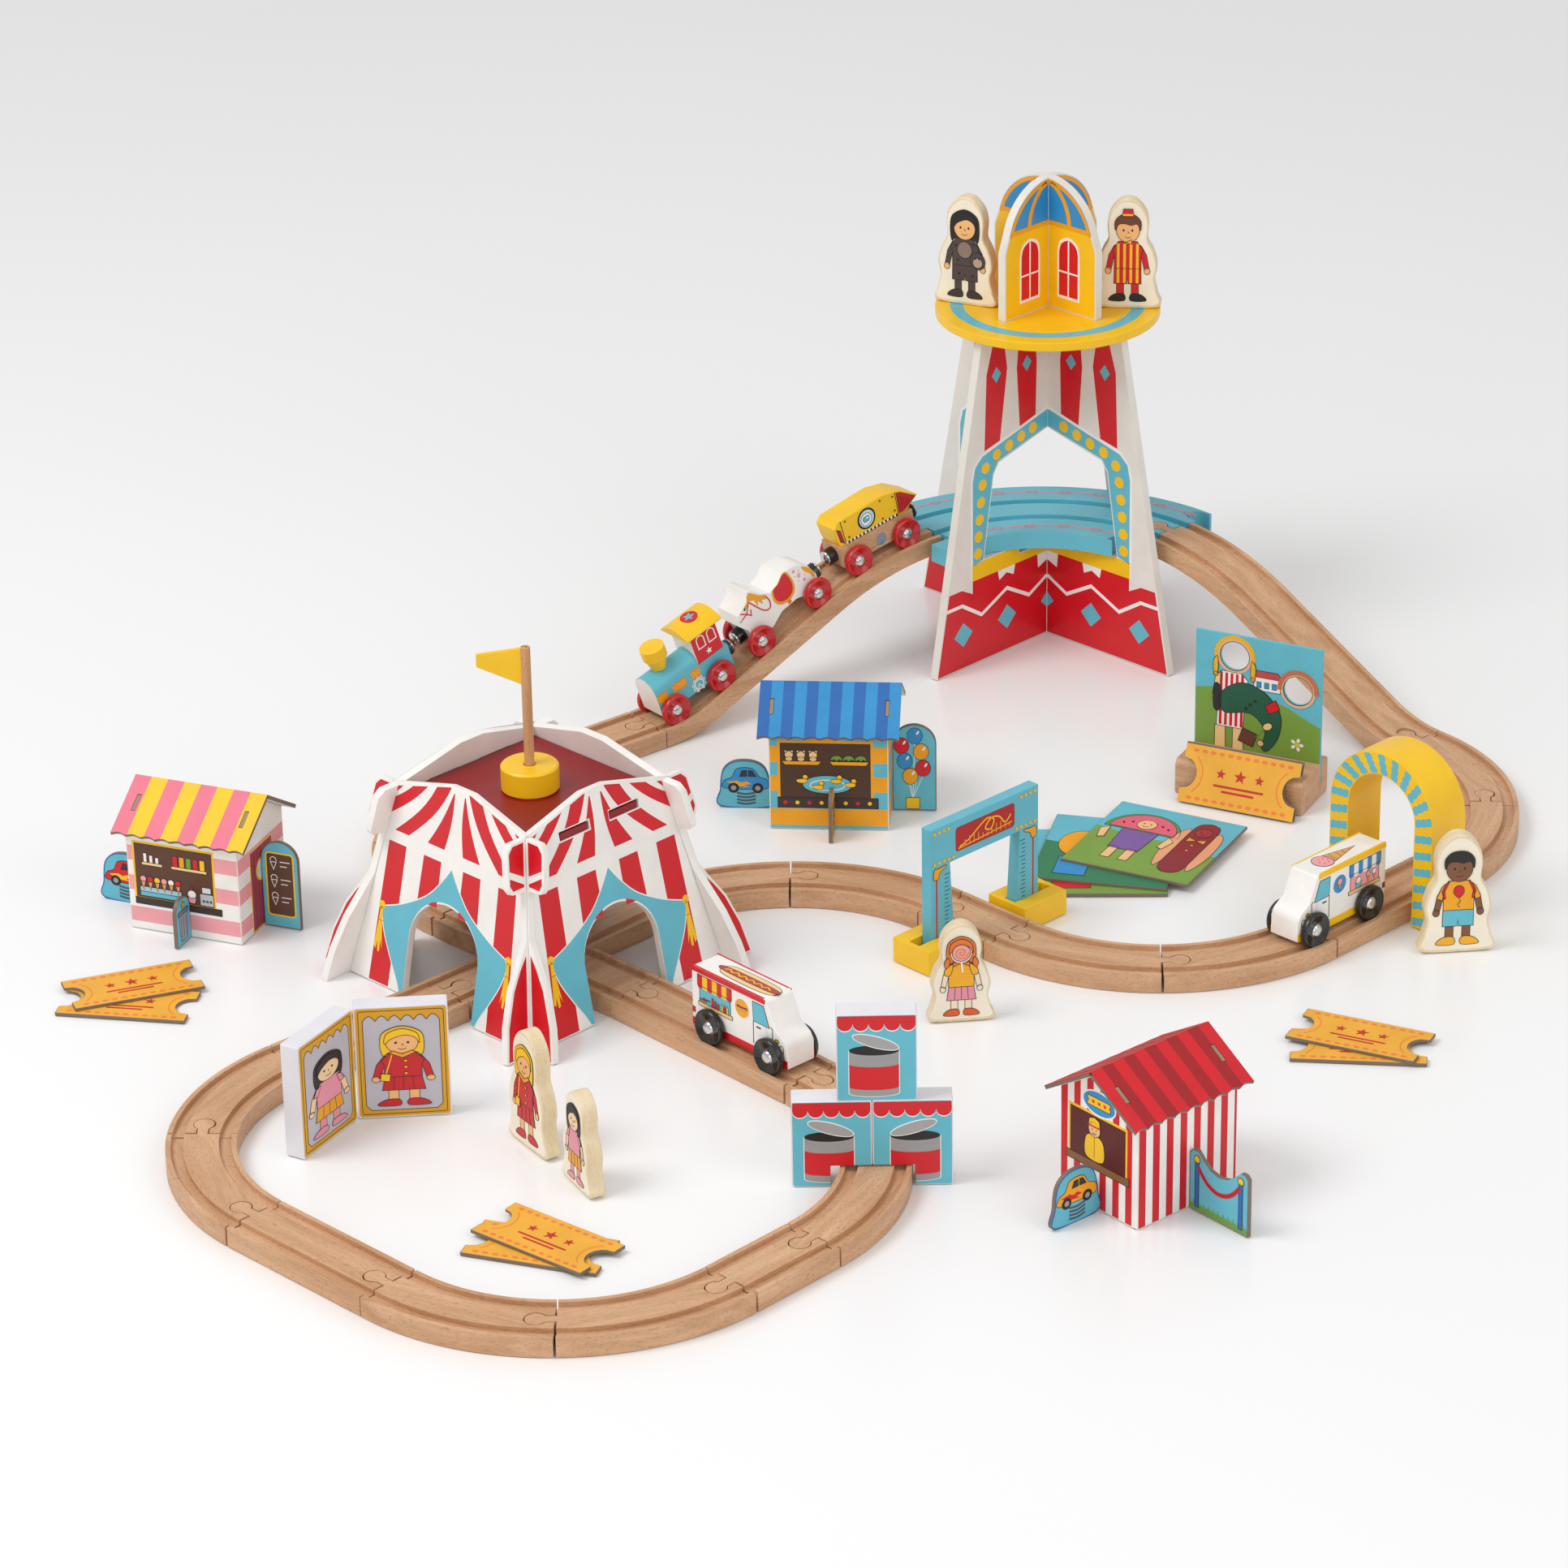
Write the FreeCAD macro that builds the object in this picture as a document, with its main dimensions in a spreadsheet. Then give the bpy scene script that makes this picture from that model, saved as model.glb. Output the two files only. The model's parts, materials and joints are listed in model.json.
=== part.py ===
import FreeCAD, Part
import Sketcher
import math
import os

os.makedirs("parts", exist_ok=True)
doc = FreeCAD.newDocument("fairground_train_set")
V = FreeCAD.Vector

# --------------------------------------------------------------------------
# Driving dimensions, in millimetres and degrees
# --------------------------------------------------------------------------
DIMENSIONS = {
    # grooved track
    "track_width": 40.0,
    "track_height": 12.0,
    "groove_width": 7.0,
    "groove_depth": 3.0,
    "groove_offset": 13.5,
    "peg_radius": 5.8,
    "peg_neck": 6.0,
    "peg_reach": 11.5,
    "peg_play": 0.7,
    "joint_gap": 1.2,
    "curve_radius": 128.7,
    "curve_angle": 45.0,
    "crossing_arm": 77.6,
    "truck_straight": 149.7,
    "front_short": 63.1,
    "front_straight": 108.8,
    "mirror_straight": 116.9,
    "gauge_short": 54.4,
    "arch_straight": 118.0,
    "rear_straight": 134.7,
    # bridge
    "deck_level": 85.5,
    "deck_radius": 115.8,
    "deck_width": 80.0,
    "ramp_run": 232.8,
    "ramp_slope": 24.0,
    "ramp_low_radius": 95.0,
    # tower
    "tower_board": 6.0,
    "tower_foot": 112.0,
    "tower_shoulder": 67.0,
    "tower_opening": 65.5,
    "tower_opening_top": 56.0,
    "tower_sill": 73.2,
    "platform_level": 235.5,
    "platform_radius": 74.5,
    "platform_thick": 6.0,
    "cupola_half": 45.0,
    "cupola_eave": 282.0,
    "cupola_neck": 40.5,
    "cupola_spring": 294.0,
    "cupola_top": 325.0,
    # tent
    "tent_board": 5.0,
    "tent_base_half": 112.5,
    "tent_top_half": 76.0,
    "tent_rise": 128.0,
    "tent_door_half": 30.0,
    "tent_roof_level": 115.0,
    "tent_peak": 137.0,
    "pole_radius": 3.0,
    "pole_length": 89.0,
    "pole_base_radius": 17.4,
    "pole_base_height": 16.0,
    "flag_length": 29.0,
    "flag_drop": 23.0,
    "flag_thick": 2.4,
    # card kiosks
    "card_board": 2.4,
    "kiosk_width": 75.0,
    "kiosk_depth": 62.0,
    "kiosk_eave": 65.0,
    "kiosk_ridge": 88.0,
    "kiosk_roof": 89.0,
    "kiosk_overhang": 6.0,
    # vehicles
    "body_width": 21.0,
    "axle_radius": 1.5,
    "axle_play": 0.08,
    "wheel_thick": 4.6,
    "wheel_bevel": 1.1,
    "truck_wheel": 11.5,
    "train_wheel": 10.8,
    "truck_base": 50.3,
    "magnet_radius": 5.6,
    "magnet_length": 6.0,
    # upright pieces
    "mirror_height": 71.0,
    "mirror_thick": 12.0,
    "can_width": 44.5,
    "can_height": 53.5,
    "can_depth": 15.0,
    "arch_half": 40.0,
    "arch_inner": 25.5,
    "arch_height": 107.0,
    "arch_depth": 31.0,
    "gauge_thick": 8.0,
    "gauge_height": 88.0,
    "card_thick": 2.0,
    "picture_side": 86.0,
    "picture_tall": 92.0,
    "figure_thick": 10.0,
}
SHEET = doc.addObject("Spreadsheet::Sheet", "sizes")
for row, (alias, number) in enumerate(DIMENSIONS.items(), start=1):
    SHEET.set("A%d" % row, alias)
    SHEET.set("B%d" % row, "%g" % number)
    SHEET.setAlias("B%d" % row, alias)
doc.recompute()


class Size:
    """A number together with the sheet formula that gives it."""

    def __init__(self, number, text):
        self.number = float(number)
        self.text = text

    def join(self, other, sign, number):
        text = other.text if isinstance(other, Size) else "%.6g" % other
        return Size(number, "(%s %s %s)" % (self.text, sign, text))

    def __add__(self, other):
        return self.join(other, "+", self.number + plain(other))

    def __sub__(self, other):
        return self.join(other, "-", self.number - plain(other))

    def __mul__(self, other):
        return self.join(other, "*", self.number * plain(other))

    def __truediv__(self, other):
        return self.join(other, "/", self.number / plain(other))

    def __neg__(self):
        return Size(-self.number, "(0 - %s)" % self.text)


def plain(size):
    return size.number if isinstance(size, Size) else float(size)


def size(alias):
    return Size(DIMENSIONS[alias], "sizes." + alias)


def bind(obj, name, value):
    """Give one property its size, as a formula of the sheet where it has one."""
    setattr(obj, name, plain(value))
    if isinstance(value, Size):
        obj.setExpression(name, value.text)


# --------------------------------------------------------------------------
# Small kit: primitives, boards and booleans
# --------------------------------------------------------------------------
counter = [0]
NODES = []


def name_of(kind):
    counter[0] += 1
    return "%s_%03d" % (kind, counter[0])


def at(x=0.0, y=0.0, z=0.0, yaw=0.0, pitch=0.0, roll=0.0):
    return FreeCAD.Placement(V(plain(x), plain(y), plain(z)), FreeCAD.Rotation(yaw, pitch, roll))


def box(length, width, height, corner=None, place=None):
    """A box; corner is its lowest corner in the frame of place."""
    obj = doc.addObject("Part::Box", name_of("box"))
    bind(obj, "Length", length)
    bind(obj, "Width", width)
    bind(obj, "Height", height)
    corner = corner or (0.0, 0.0, 0.0)
    obj.Placement = (place or at()).multiply(at(*corner))
    return obj


def centred_box(length, width, height, z=0.0, place=None, x=0.0, y=0.0):
    return box(length, width, height, (plain(x) - plain(length) / 2, plain(y) - plain(width) / 2, z), place)


def cylinder(radius, height, place=None, angle=360.0):
    obj = doc.addObject("Part::Cylinder", name_of("cylinder"))
    bind(obj, "Radius", radius)
    bind(obj, "Height", height)
    bind(obj, "Angle", angle)
    obj.Placement = place or at()
    return obj


def cone(low, high, height, place=None):
    obj = doc.addObject("Part::Cone", name_of("cone"))
    bind(obj, "Radius1", low)
    bind(obj, "Radius2", high)
    bind(obj, "Height", height)
    obj.Placement = place or at()
    return obj


def cross_axle(radius, length, x, z, y=0.0):
    """A cylinder lying along Y, centred on the given y."""
    return cylinder(radius, length, at(x, plain(y) + plain(length) / 2, z, roll=90))


def fuse(*shapes):
    if len(shapes) == 1:
        return shapes[0]
    obj = doc.addObject("Part::MultiFuse", name_of("fuse"))
    obj.Shapes = list(shapes)
    return obj


def cut(base, *tools):
    obj = doc.addObject("Part::Cut", name_of("cut"))
    obj.Base = base
    obj.Tool = fuse(*tools)
    return obj


def common(base, tool):
    obj = doc.addObject("Part::Common", name_of("common"))
    obj.Base = base
    obj.Tool = tool
    return obj


def group(shapes):
    obj = doc.addObject("Part::Compound", name_of("group"))
    obj.Links = list(shapes)
    return obj


def copy_at(source, place):
    link = doc.addObject("App::Link", name_of("copy"))
    link.LinkedObject = source
    link.LinkTransform = False
    link.Placement = place
    return link


def board(outline, thick, place=None, plane="XZ_Plane", midplane=True):
    """A board sawn to a straight-sided outline, padded to its thickness."""
    body = doc.addObject("PartDesign::Body", name_of("board"))
    sketch = body.newObject("Sketcher::SketchObject", body.Name + "_outline")
    sketch.AttachmentSupport = [(origin_plane(body, plane), "")]
    sketch.MapMode = "FlatFace"
    corners = [V(plain(a), plain(b), 0) for a, b in outline]
    count = len(corners)
    for k in range(count):
        sketch.addGeometry(Part.LineSegment(corners[k], corners[(k + 1) % count]), False)
    sketch.addConstraint(
        [Sketcher.Constraint("Coincident", k, 2, (k + 1) % count, 1) for k in range(count)]
    )
    for k, corner in enumerate(outline):
        for kind, value in zip(("DistanceX", "DistanceY"), corner):
            index = sketch.addConstraint(Sketcher.Constraint(kind, -1, 1, k, 1, plain(value)))
            if isinstance(value, Size):
                sketch.setExpression("Constraints[%d]" % index, value.text)
    pad = body.newObject("PartDesign::Pad", body.Name + "_pad")
    pad.Profile = sketch
    bind(pad, "Length", thick)
    pad.Midplane = midplane
    sketch.Visibility = False
    body.Placement = place or at()
    return body


def origin_plane(body, role):
    return next(plane for plane in body.Origin.OriginFeatures if plane.Role == role)


def node(obj, label):
    """Keep one object as a named sub-part of the set."""
    obj.Label = label
    NODES.append(obj)
    return obj


# --------------------------------------------------------------------------
# Track layout: a walk from joint to joint
# --------------------------------------------------------------------------
GAP = DIMENSIONS["joint_gap"]


class Walk:
    """Position and heading while the pieces are laid one after another."""

    def __init__(self, heading):
        arm = DIMENSIONS["crossing_arm"]
        self.heading = heading
        self.x = arm * math.cos(math.radians(heading))
        self.y = arm * math.sin(math.radians(heading))

    def step(self, length):
        self.x += length * math.cos(math.radians(self.heading))
        self.y += length * math.sin(math.radians(self.heading))

    def joint(self, play):
        """Cross a joint: half a gap, a small turn in the loose fit, half a gap."""
        self.step(GAP / 2)
        self.heading += play
        self.step(GAP / 2)
        return (self.x, self.y, self.heading)

    def turn(self, radius, angle):
        side = math.copysign(90.0, angle)
        ax = math.radians(self.heading + side)
        cx = self.x + radius * math.cos(ax)
        cy = self.y + radius * math.sin(ax)
        self.heading += angle
        ax = math.radians(self.heading - side)
        self.x = cx + radius * math.cos(ax)
        self.y = cy + radius * math.sin(ax)


def lay(heading, pieces):
    """Lay the pieces; give each one's start as (x, y, heading)."""
    walk = Walk(heading)
    starts = {}
    for name, kind, measure, play in pieces:
        starts[name] = walk.joint(play)
        if kind == "straight":
            walk.step(measure)
        elif kind == "deck":
            walk.turn(DIMENSIONS["deck_radius"], measure)
        else:
            walk.turn(DIMENSIONS["curve_radius"], measure)
    return starts


TURN = DIMENSIONS["curve_angle"]
FRONT_LOOP = lay(-45.0, [
    ("truck_straight", "straight", DIMENSIONS["truck_straight"], -2.6),
    ("curve_1", "curve", -TURN, 1.52),
    ("curve_2", "curve", -TURN, 2.18),
    ("front_short", "straight", DIMENSIONS["front_short"], -0.5),
    ("curve_3", "curve", -TURN, -1.16),
    ("curve_4", "curve", -TURN, -0.8),
    ("front_straight", "straight", DIMENSIONS["front_straight"], 1.44),
    ("curve_5", "curve", -TURN, -1.21),
    ("curve_6", "curve", -TURN, -2.01),
    ("mirror_straight", "straight", DIMENSIONS["mirror_straight"], 0.52),
])
REAR_LOOP = lay(45.0, [
    ("curve_7", "curve", -TURN, -1.41),
    ("curve_8", "curve", -TURN, 0.27),
    ("gauge_short", "straight", DIMENSIONS["gauge_short"], -0.43),
    ("curve_9", "curve", TURN, -0.92),
    ("curve_10", "curve", TURN, 1.22),
    ("arch_straight", "straight", DIMENSIONS["arch_straight"], 0.65),
    ("curve_11", "curve", TURN, -0.75),
    ("curve_12", "curve", TURN, -2.44),
    ("ramp_up", "straight", DIMENSIONS["ramp_run"], -1.81),
    ("deck", "deck", 2 * TURN, 1.2),
    ("ramp_down", "straight", DIMENSIONS["ramp_run"], -2.6),
    ("rear_straight", "straight", DIMENSIONS["rear_straight"], 1.15),
    ("curve_13", "curve", TURN, 2.26),
    ("curve_14", "curve", TURN, 2.6),
])


def start(layout, name, z=0.0):
    """Placement with +X along the piece, from its socket end to its peg end."""
    x, y, heading = layout[name]
    return at(x, y, z, yaw=heading)


# --------------------------------------------------------------------------
# Track pieces
# --------------------------------------------------------------------------
def grooves(length, place=None, reach=1.0):
    """Two wheel grooves along +X, run a little past both ends."""
    long = length + 2 * reach
    top = size("track_height") - size("groove_depth")
    side = DIMENSIONS["groove_offset"]
    low = DIMENSIONS["groove_width"] / 2
    return [
        box(long, size("groove_width"), size("groove_depth") + 1.0, (-reach, y - low, top), place)
        for y in (-side, side)
    ]


def peg(place):
    """A round peg head on a neck, pointing along +X."""
    reach = size("peg_reach")
    head = cylinder(size("peg_radius"), size("track_height"), place.multiply(at(reach)))
    neck = box(reach, size("peg_neck"), size("track_height"),
               (0, -DIMENSIONS["peg_neck"] / 2, 0), place)
    return [head, neck]


def socket(place):
    """The slot that takes a peg, opening at the origin towards -X."""
    reach = size("peg_reach")
    wide = size("peg_neck") + size("peg_play") * 2
    mouth = 2.0
    hole = cylinder(size("peg_radius") + size("peg_play"), size("track_height") + 2,
                    place.multiply(at(reach, 0, -1)))
    slot = box(reach + mouth, wide, size("track_height") + 2,
               (-mouth, -plain(wide) / 2, -1), place)
    return [hole, slot]


def straight(alias, place):
    length = size(alias)
    body = box(length, size("track_width"), size("track_height"),
               (0, -DIMENSIONS["track_width"] / 2, 0))
    made = cut(body, *(grooves(length) + socket(at(-GAP))))
    made = fuse(made, *peg(at(length)))
    made.Placement = place
    return made


def sector(low, high, height, z, angle):
    """Part of a flat ring about the origin, from the +X side counter-clockwise."""
    outer = cylinder(high, height, at(0, 0, z), angle)
    inner = cylinder(low, plain(height) + 2, at(0, 0, plain(z) - 1))
    return cut(outer, inner)


def curve_master(left):
    """A 45 degree curve whose centre is the origin."""
    radius = size("curve_radius")
    half = size("track_width") / 2
    angle = size("curve_angle")
    ring = sector(radius - half, radius + half, size("track_height"), 0, angle)
    top = size("track_height") - size("groove_depth")
    low = size("groove_width") / 2
    tracks = [
        sector(radius + (offset - plain(low)), radius + (offset + plain(low)),
               size("groove_depth") + 1.0, top, 360.0)
        for offset in (-DIMENSIONS["groove_offset"], DIMENSIONS["groove_offset"])
    ]
    r = DIMENSIONS["curve_radius"]
    far = math.radians(TURN)
    if left:
        socket_at = at(r, -GAP, 0, yaw=90)
        peg_at = at(r * math.cos(far), r * math.sin(far), 0, yaw=90 + TURN)
    else:
        socket_at = at(r * math.cos(far), r * math.sin(far), 0, yaw=TURN - 90).multiply(at(-GAP))
        peg_at = at(r, 0, 0, yaw=-90)
    return fuse(cut(ring, *(tracks + socket(socket_at))), *peg(peg_at))


def curve_places(layout, names, left):
    places = []
    r = DIMENSIONS["curve_radius"]
    for name in names:
        x, y, heading = layout[name]
        if left:
            places.append(at(x, y, 0, yaw=heading - 90).multiply(at(-r)))
        else:
            places.append(at(x, y, 0, yaw=heading + 90 - TURN).multiply(
                at(-r * math.cos(math.radians(TURN)), -r * math.sin(math.radians(TURN)))))
    return places


def build_crossing():
    arm = size("crossing_arm")
    arms = [
        box(arm * 2, size("track_width"), size("track_height"),
            (-plain(arm), -DIMENSIONS["track_width"] / 2, 0), at(yaw=yaw))
        for yaw in (-45, 45)
    ]
    made = fuse(*arms)
    cuts = []
    for yaw in (-45, 45):
        turned = at(yaw=yaw)
        cuts += grooves(arm * 2, turned.multiply(at(-plain(arm))))
        cuts += socket(turned.multiply(at(-plain(arm) - GAP)))
    pegs = [shape for yaw in (-45, 45) for shape in peg(at(yaw=yaw).multiply(at(arm)))]
    return fuse(cut(made, *cuts), *pegs)


node(build_crossing(), "crossing_track")
node(group([
    straight("truck_straight", start(FRONT_LOOP, "truck_straight")),
    straight("front_straight", start(FRONT_LOOP, "front_straight")),
    straight("mirror_straight", start(FRONT_LOOP, "mirror_straight")),
    straight("arch_straight", start(REAR_LOOP, "arch_straight")),
    straight("rear_straight", start(REAR_LOOP, "rear_straight")),
]), "straight_tracks")
node(group([
    straight("front_short", start(FRONT_LOOP, "front_short")),
    straight("gauge_short", start(REAR_LOOP, "gauge_short")),
]), "short_tracks")

RIGHT_CURVE = curve_master(False)
LEFT_CURVE = curve_master(True)
right_places = curve_places(FRONT_LOOP, ["curve_%d" % k for k in range(1, 7)], False)
gauge_places = curve_places(REAR_LOOP, ["curve_7", "curve_8"], False)
left_places = curve_places(REAR_LOOP, ["curve_%d" % k for k in range(9, 15)], True)
node(group([copy_at(RIGHT_CURVE, place) for place in right_places]), "front_loop_curves")
node(group(
    [copy_at(RIGHT_CURVE, place) for place in gauge_places]
    + [copy_at(LEFT_CURVE, place) for place in left_places]
), "rear_loop_curves")

# --------------------------------------------------------------------------
# Ramps: a constant ribbon that bends up, runs straight and bends level
# --------------------------------------------------------------------------
SLOPE = math.radians(DIMENSIONS["ramp_slope"])
RISE = DIMENSIONS["deck_level"] - DIMENSIONS["track_height"]
RUN = DIMENSIONS["ramp_run"]
LOW = DIMENSIONS["ramp_low_radius"]
# the straight run and the upper radius follow from the rise and the run
rise_left = RISE - LOW * (1 - math.cos(SLOPE))
run_left = RUN - LOW * math.sin(SLOPE)
HIGH = (run_left - rise_left / math.tan(SLOPE)) / (
    math.sin(SLOPE) - (1 - math.cos(SLOPE)) / math.tan(SLOPE))
INCLINE = (rise_left - HIGH * (1 - math.cos(SLOPE))) / math.sin(SLOPE)


def ramp_line(depth):
    """The ramp's long curve in the XZ plane, depth below the running surface."""
    top = DIMENSIONS["track_height"] - depth
    low = LOW + depth
    high = HIGH - depth
    first = V(0, 0, top)
    bend = V(low * math.sin(SLOPE), 0, top + low * (1 - math.cos(SLOPE)))
    half = V(low * math.sin(SLOPE / 2), 0, top + low * (1 - math.cos(SLOPE / 2)))
    last = V(RUN, 0, top + RISE)
    level = V(RUN - high * math.sin(SLOPE), 0, top + RISE - high * (1 - math.cos(SLOPE)))
    over = V(RUN - high * math.sin(SLOPE / 2), 0, top + RISE - high * (1 - math.cos(SLOPE / 2)))
    return [
        Part.Arc(first, half, bend).toShape(),
        Part.LineSegment(bend, level).toShape(),
        Part.Arc(level, over, last).toShape(),
    ]


def ribbon(high_depth, low_depth, near, far):
    """A solid between two depths below the running surface, from y near to y far."""
    top = ramp_line(high_depth)
    bottom = ramp_line(low_depth)
    ends = []
    for x, z in ((0, 0), (RUN, RISE)):
        level = DIMENSIONS["track_height"] + z
        ends.append(Part.LineSegment(V(x, 0, level - high_depth), V(x, 0, level - low_depth)).toShape())
    face = Part.Face(Part.Wire(Part.__sortEdges__(top + bottom + ends)))
    face.translate(V(0, near, 0))
    return face.extrude(V(0, far - near, 0))


def ramp_shape(rising):
    """One ramp from its low end at the origin; rising ramps carry the peg at the top."""
    half = DIMENSIONS["track_width"] / 2
    thick = DIMENSIONS["track_height"]
    shape = ribbon(0.0, thick, -half, half)
    low = DIMENSIONS["groove_width"] / 2
    for y in (-DIMENSIONS["groove_offset"], DIMENSIONS["groove_offset"]):
        shape = shape.cut(ribbon(-0.5, DIMENSIONS["groove_depth"], y - low, y + low))
    reach = DIMENSIONS["peg_reach"]
    neck = DIMENSIONS["peg_neck"]
    play = DIMENSIONS["peg_play"]
    peg_x, peg_z, out = (RUN, RISE, 1) if rising else (0.0, 0.0, -1)
    hole_x, hole_z = (0.0, 0.0) if rising else (RUN, RISE)
    head = Part.makeCylinder(DIMENSIONS["peg_radius"], thick, V(peg_x + out * reach, 0, peg_z))
    bar = Part.makeBox(reach, neck, thick, V(min(peg_x, peg_x + out * reach), -neck / 2, peg_z))
    tall = 3 * thick
    centre = hole_x + out * (reach - GAP)
    hole = Part.makeCylinder(DIMENSIONS["peg_radius"] + play, tall, V(centre, 0, hole_z - thick))
    slot = Part.makeBox(reach + 1, neck + 2 * play, tall,
                        V(min(hole_x - out, centre), -neck / 2 - play, hole_z - thick))
    return shape.cut(hole.fuse(slot)).fuse([head, bar]).removeSplitter()


def feature(shape, label, place):
    obj = doc.addObject("Part::Feature", label)
    obj.Shape = shape
    obj.Placement = place
    return node(obj, label)


def ramp_down_place():
    """The falling ramp is walked from its top, so it is turned half round."""
    return start(REAR_LOOP, "ramp_down").multiply(at(RUN, 0, 0, yaw=180))


feature(ramp_shape(True), "ramp_up", start(REAR_LOOP, "ramp_up"))
feature(ramp_shape(False), "ramp_down", ramp_down_place())


def build_deck():
    """A wide level curve; the grooved track runs between two plain rims."""
    radius = size("deck_radius")
    half = size("deck_width") / 2
    thick = size("track_height")
    r = DIMENSIONS["deck_radius"]
    ring = sector(radius - half, radius + half, thick, 0, 90.0)
    low = DIMENSIONS["groove_width"] / 2
    tracks = [
        sector(radius + (y - low), radius + (y + low), size("groove_depth") + 1.0,
               thick - size("groove_depth"), 360.0)
        for y in (-DIMENSIONS["groove_offset"], DIMENSIONS["groove_offset"])
    ]
    notch = cylinder(7.0, thick + 2, at(r + 31, 5, -1))
    mouth = box(14.0, 8.0, thick + 2, (r + 24, -3, -1))
    step = box(21.0, 18.0, thick + 2, (r - 41, -1, -1))
    horn = box(17.0, 16.0, thick, (0, -36, 0), at(0, r, 0, yaw=180).multiply(at(0, 62, 0)))
    deck = cut(ring, *(tracks + socket(at(r, -GAP, 0, yaw=90)) + [notch, mouth, step]))
    deck = fuse(deck, horn, *peg(at(0, r, 0, yaw=180)))
    x, y, heading = REAR_LOOP["deck"]
    level = DIMENSIONS["deck_level"] - DIMENSIONS["track_height"]
    deck.Placement = at(x, y, level, yaw=heading - 90).multiply(at(-r))
    return deck


node(build_deck(), "bridge_deck")

# --------------------------------------------------------------------------
# Tower: two crossed boards and a round platform
# --------------------------------------------------------------------------
deck_x, deck_y, deck_heading = REAR_LOOP["deck"]
bow = math.radians(deck_heading - 45)
centre_x = deck_x + DIMENSIONS["deck_radius"] * math.cos(math.radians(deck_heading + 90))
centre_y = deck_y + DIMENSIONS["deck_radius"] * math.sin(math.radians(deck_heading + 90))
TOWER = (
    centre_x + DIMENSIONS["deck_radius"] * math.cos(bow) - 1.0,
    centre_y + DIMENSIONS["deck_radius"] * math.sin(bow) - 7.8,
)


def tower_board(yaw, slot_down):
    """One tall board with an archway, a cupola and a halving slot on its axis."""
    foot = size("tower_foot")
    shoulder = size("tower_shoulder")
    under = size("platform_level") - size("platform_thick")
    cupola = size("cupola_half")
    neck = size("cupola_neck")
    spring = size("cupola_spring")
    eave = size("cupola_eave")
    thick = size("tower_board")
    outline = [
        (-foot, 0), (foot, 0), (shoulder, under), (cupola, under), (cupola, eave), (neck, spring),
        (-neck, spring), (-cupola, eave), (-cupola, under), (-shoulder, under),
    ]
    place = at(TOWER[0], TOWER[1], 0, yaw=yaw)
    rise = DIMENSIONS["cupola_top"] - DIMENSIONS["cupola_spring"]
    reach = DIMENSIONS["cupola_neck"]
    dome_r = (reach * reach + rise * rise) / (2 * rise)
    dome = cylinder(dome_r, thick, place.multiply(
        at(0, DIMENSIONS["tower_board"] / 2, DIMENSIONS["cupola_top"] - dome_r, roll=90)))
    cap = common(dome, centred_box(100, 20, 60, DIMENSIONS["cupola_spring"], place))
    wide = size("tower_opening")
    narrow = size("tower_opening_top")
    sill = size("tower_sill")
    opening = board([
        (-wide, sill), (-wide + 35.0, sill), (-wide + 35.0, sill - 6.0), (wide - 35.0, sill - 6.0),
        (wide - 35.0, sill), (wide, sill), (narrow, sill + 58.0), (narrow - 5.0, sill + 65.0),
        (0, sill + 77.0), (-narrow + 5.0, sill + 65.0), (-narrow, sill + 58.0),
    ], thick + 4.0, place)
    # the crossing is halved in the head above the arch and in the sill below it
    head = plain(sill) + 77.0
    middle = (head + DIMENSIONS["cupola_top"]) / 2
    low = (plain(sill) - 6.0) / 2
    spans = [(-1, low), (head - 5, middle)] if slot_down else [(low, plain(sill)), (middle, 340.0)]
    slots = [centred_box(thick, 20, top - bottom, bottom, place) for bottom, top in spans]
    return cut(fuse(board(outline, thick, place), cap), opening, *slots)


node(tower_board(45, True), "tower_board_lower")
node(tower_board(-45, False), "tower_board_upper")


def build_platform():
    base = at(TOWER[0], TOWER[1], DIMENSIONS["platform_level"] - DIMENSIONS["platform_thick"])
    disc = cylinder(size("platform_radius"), size("platform_thick"), base)
    wide = size("cupola_half") * 2 + 1.0
    slots = [
        centred_box(wide, size("tower_board") + 0.6, 20, -5, base.multiply(at(yaw=yaw)))
        for yaw in (-45, 45)
    ]
    return cut(disc, *slots)


node(build_platform(), "tower_platform")

# --------------------------------------------------------------------------
# Tent: four leaning boards halved at the corners, a roof board and a flag
# --------------------------------------------------------------------------
TENT = (-4.5, 0.0)
BASE_RUN = DIMENSIONS["tent_base_half"] / math.sqrt(2)
TOP_RUN = DIMENSIONS["tent_top_half"] / math.sqrt(2)
LEAN = math.degrees(math.atan2(BASE_RUN - TOP_RUN, DIMENSIONS["tent_rise"]))
SLANT = 1 / math.cos(math.radians(LEAN))


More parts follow.
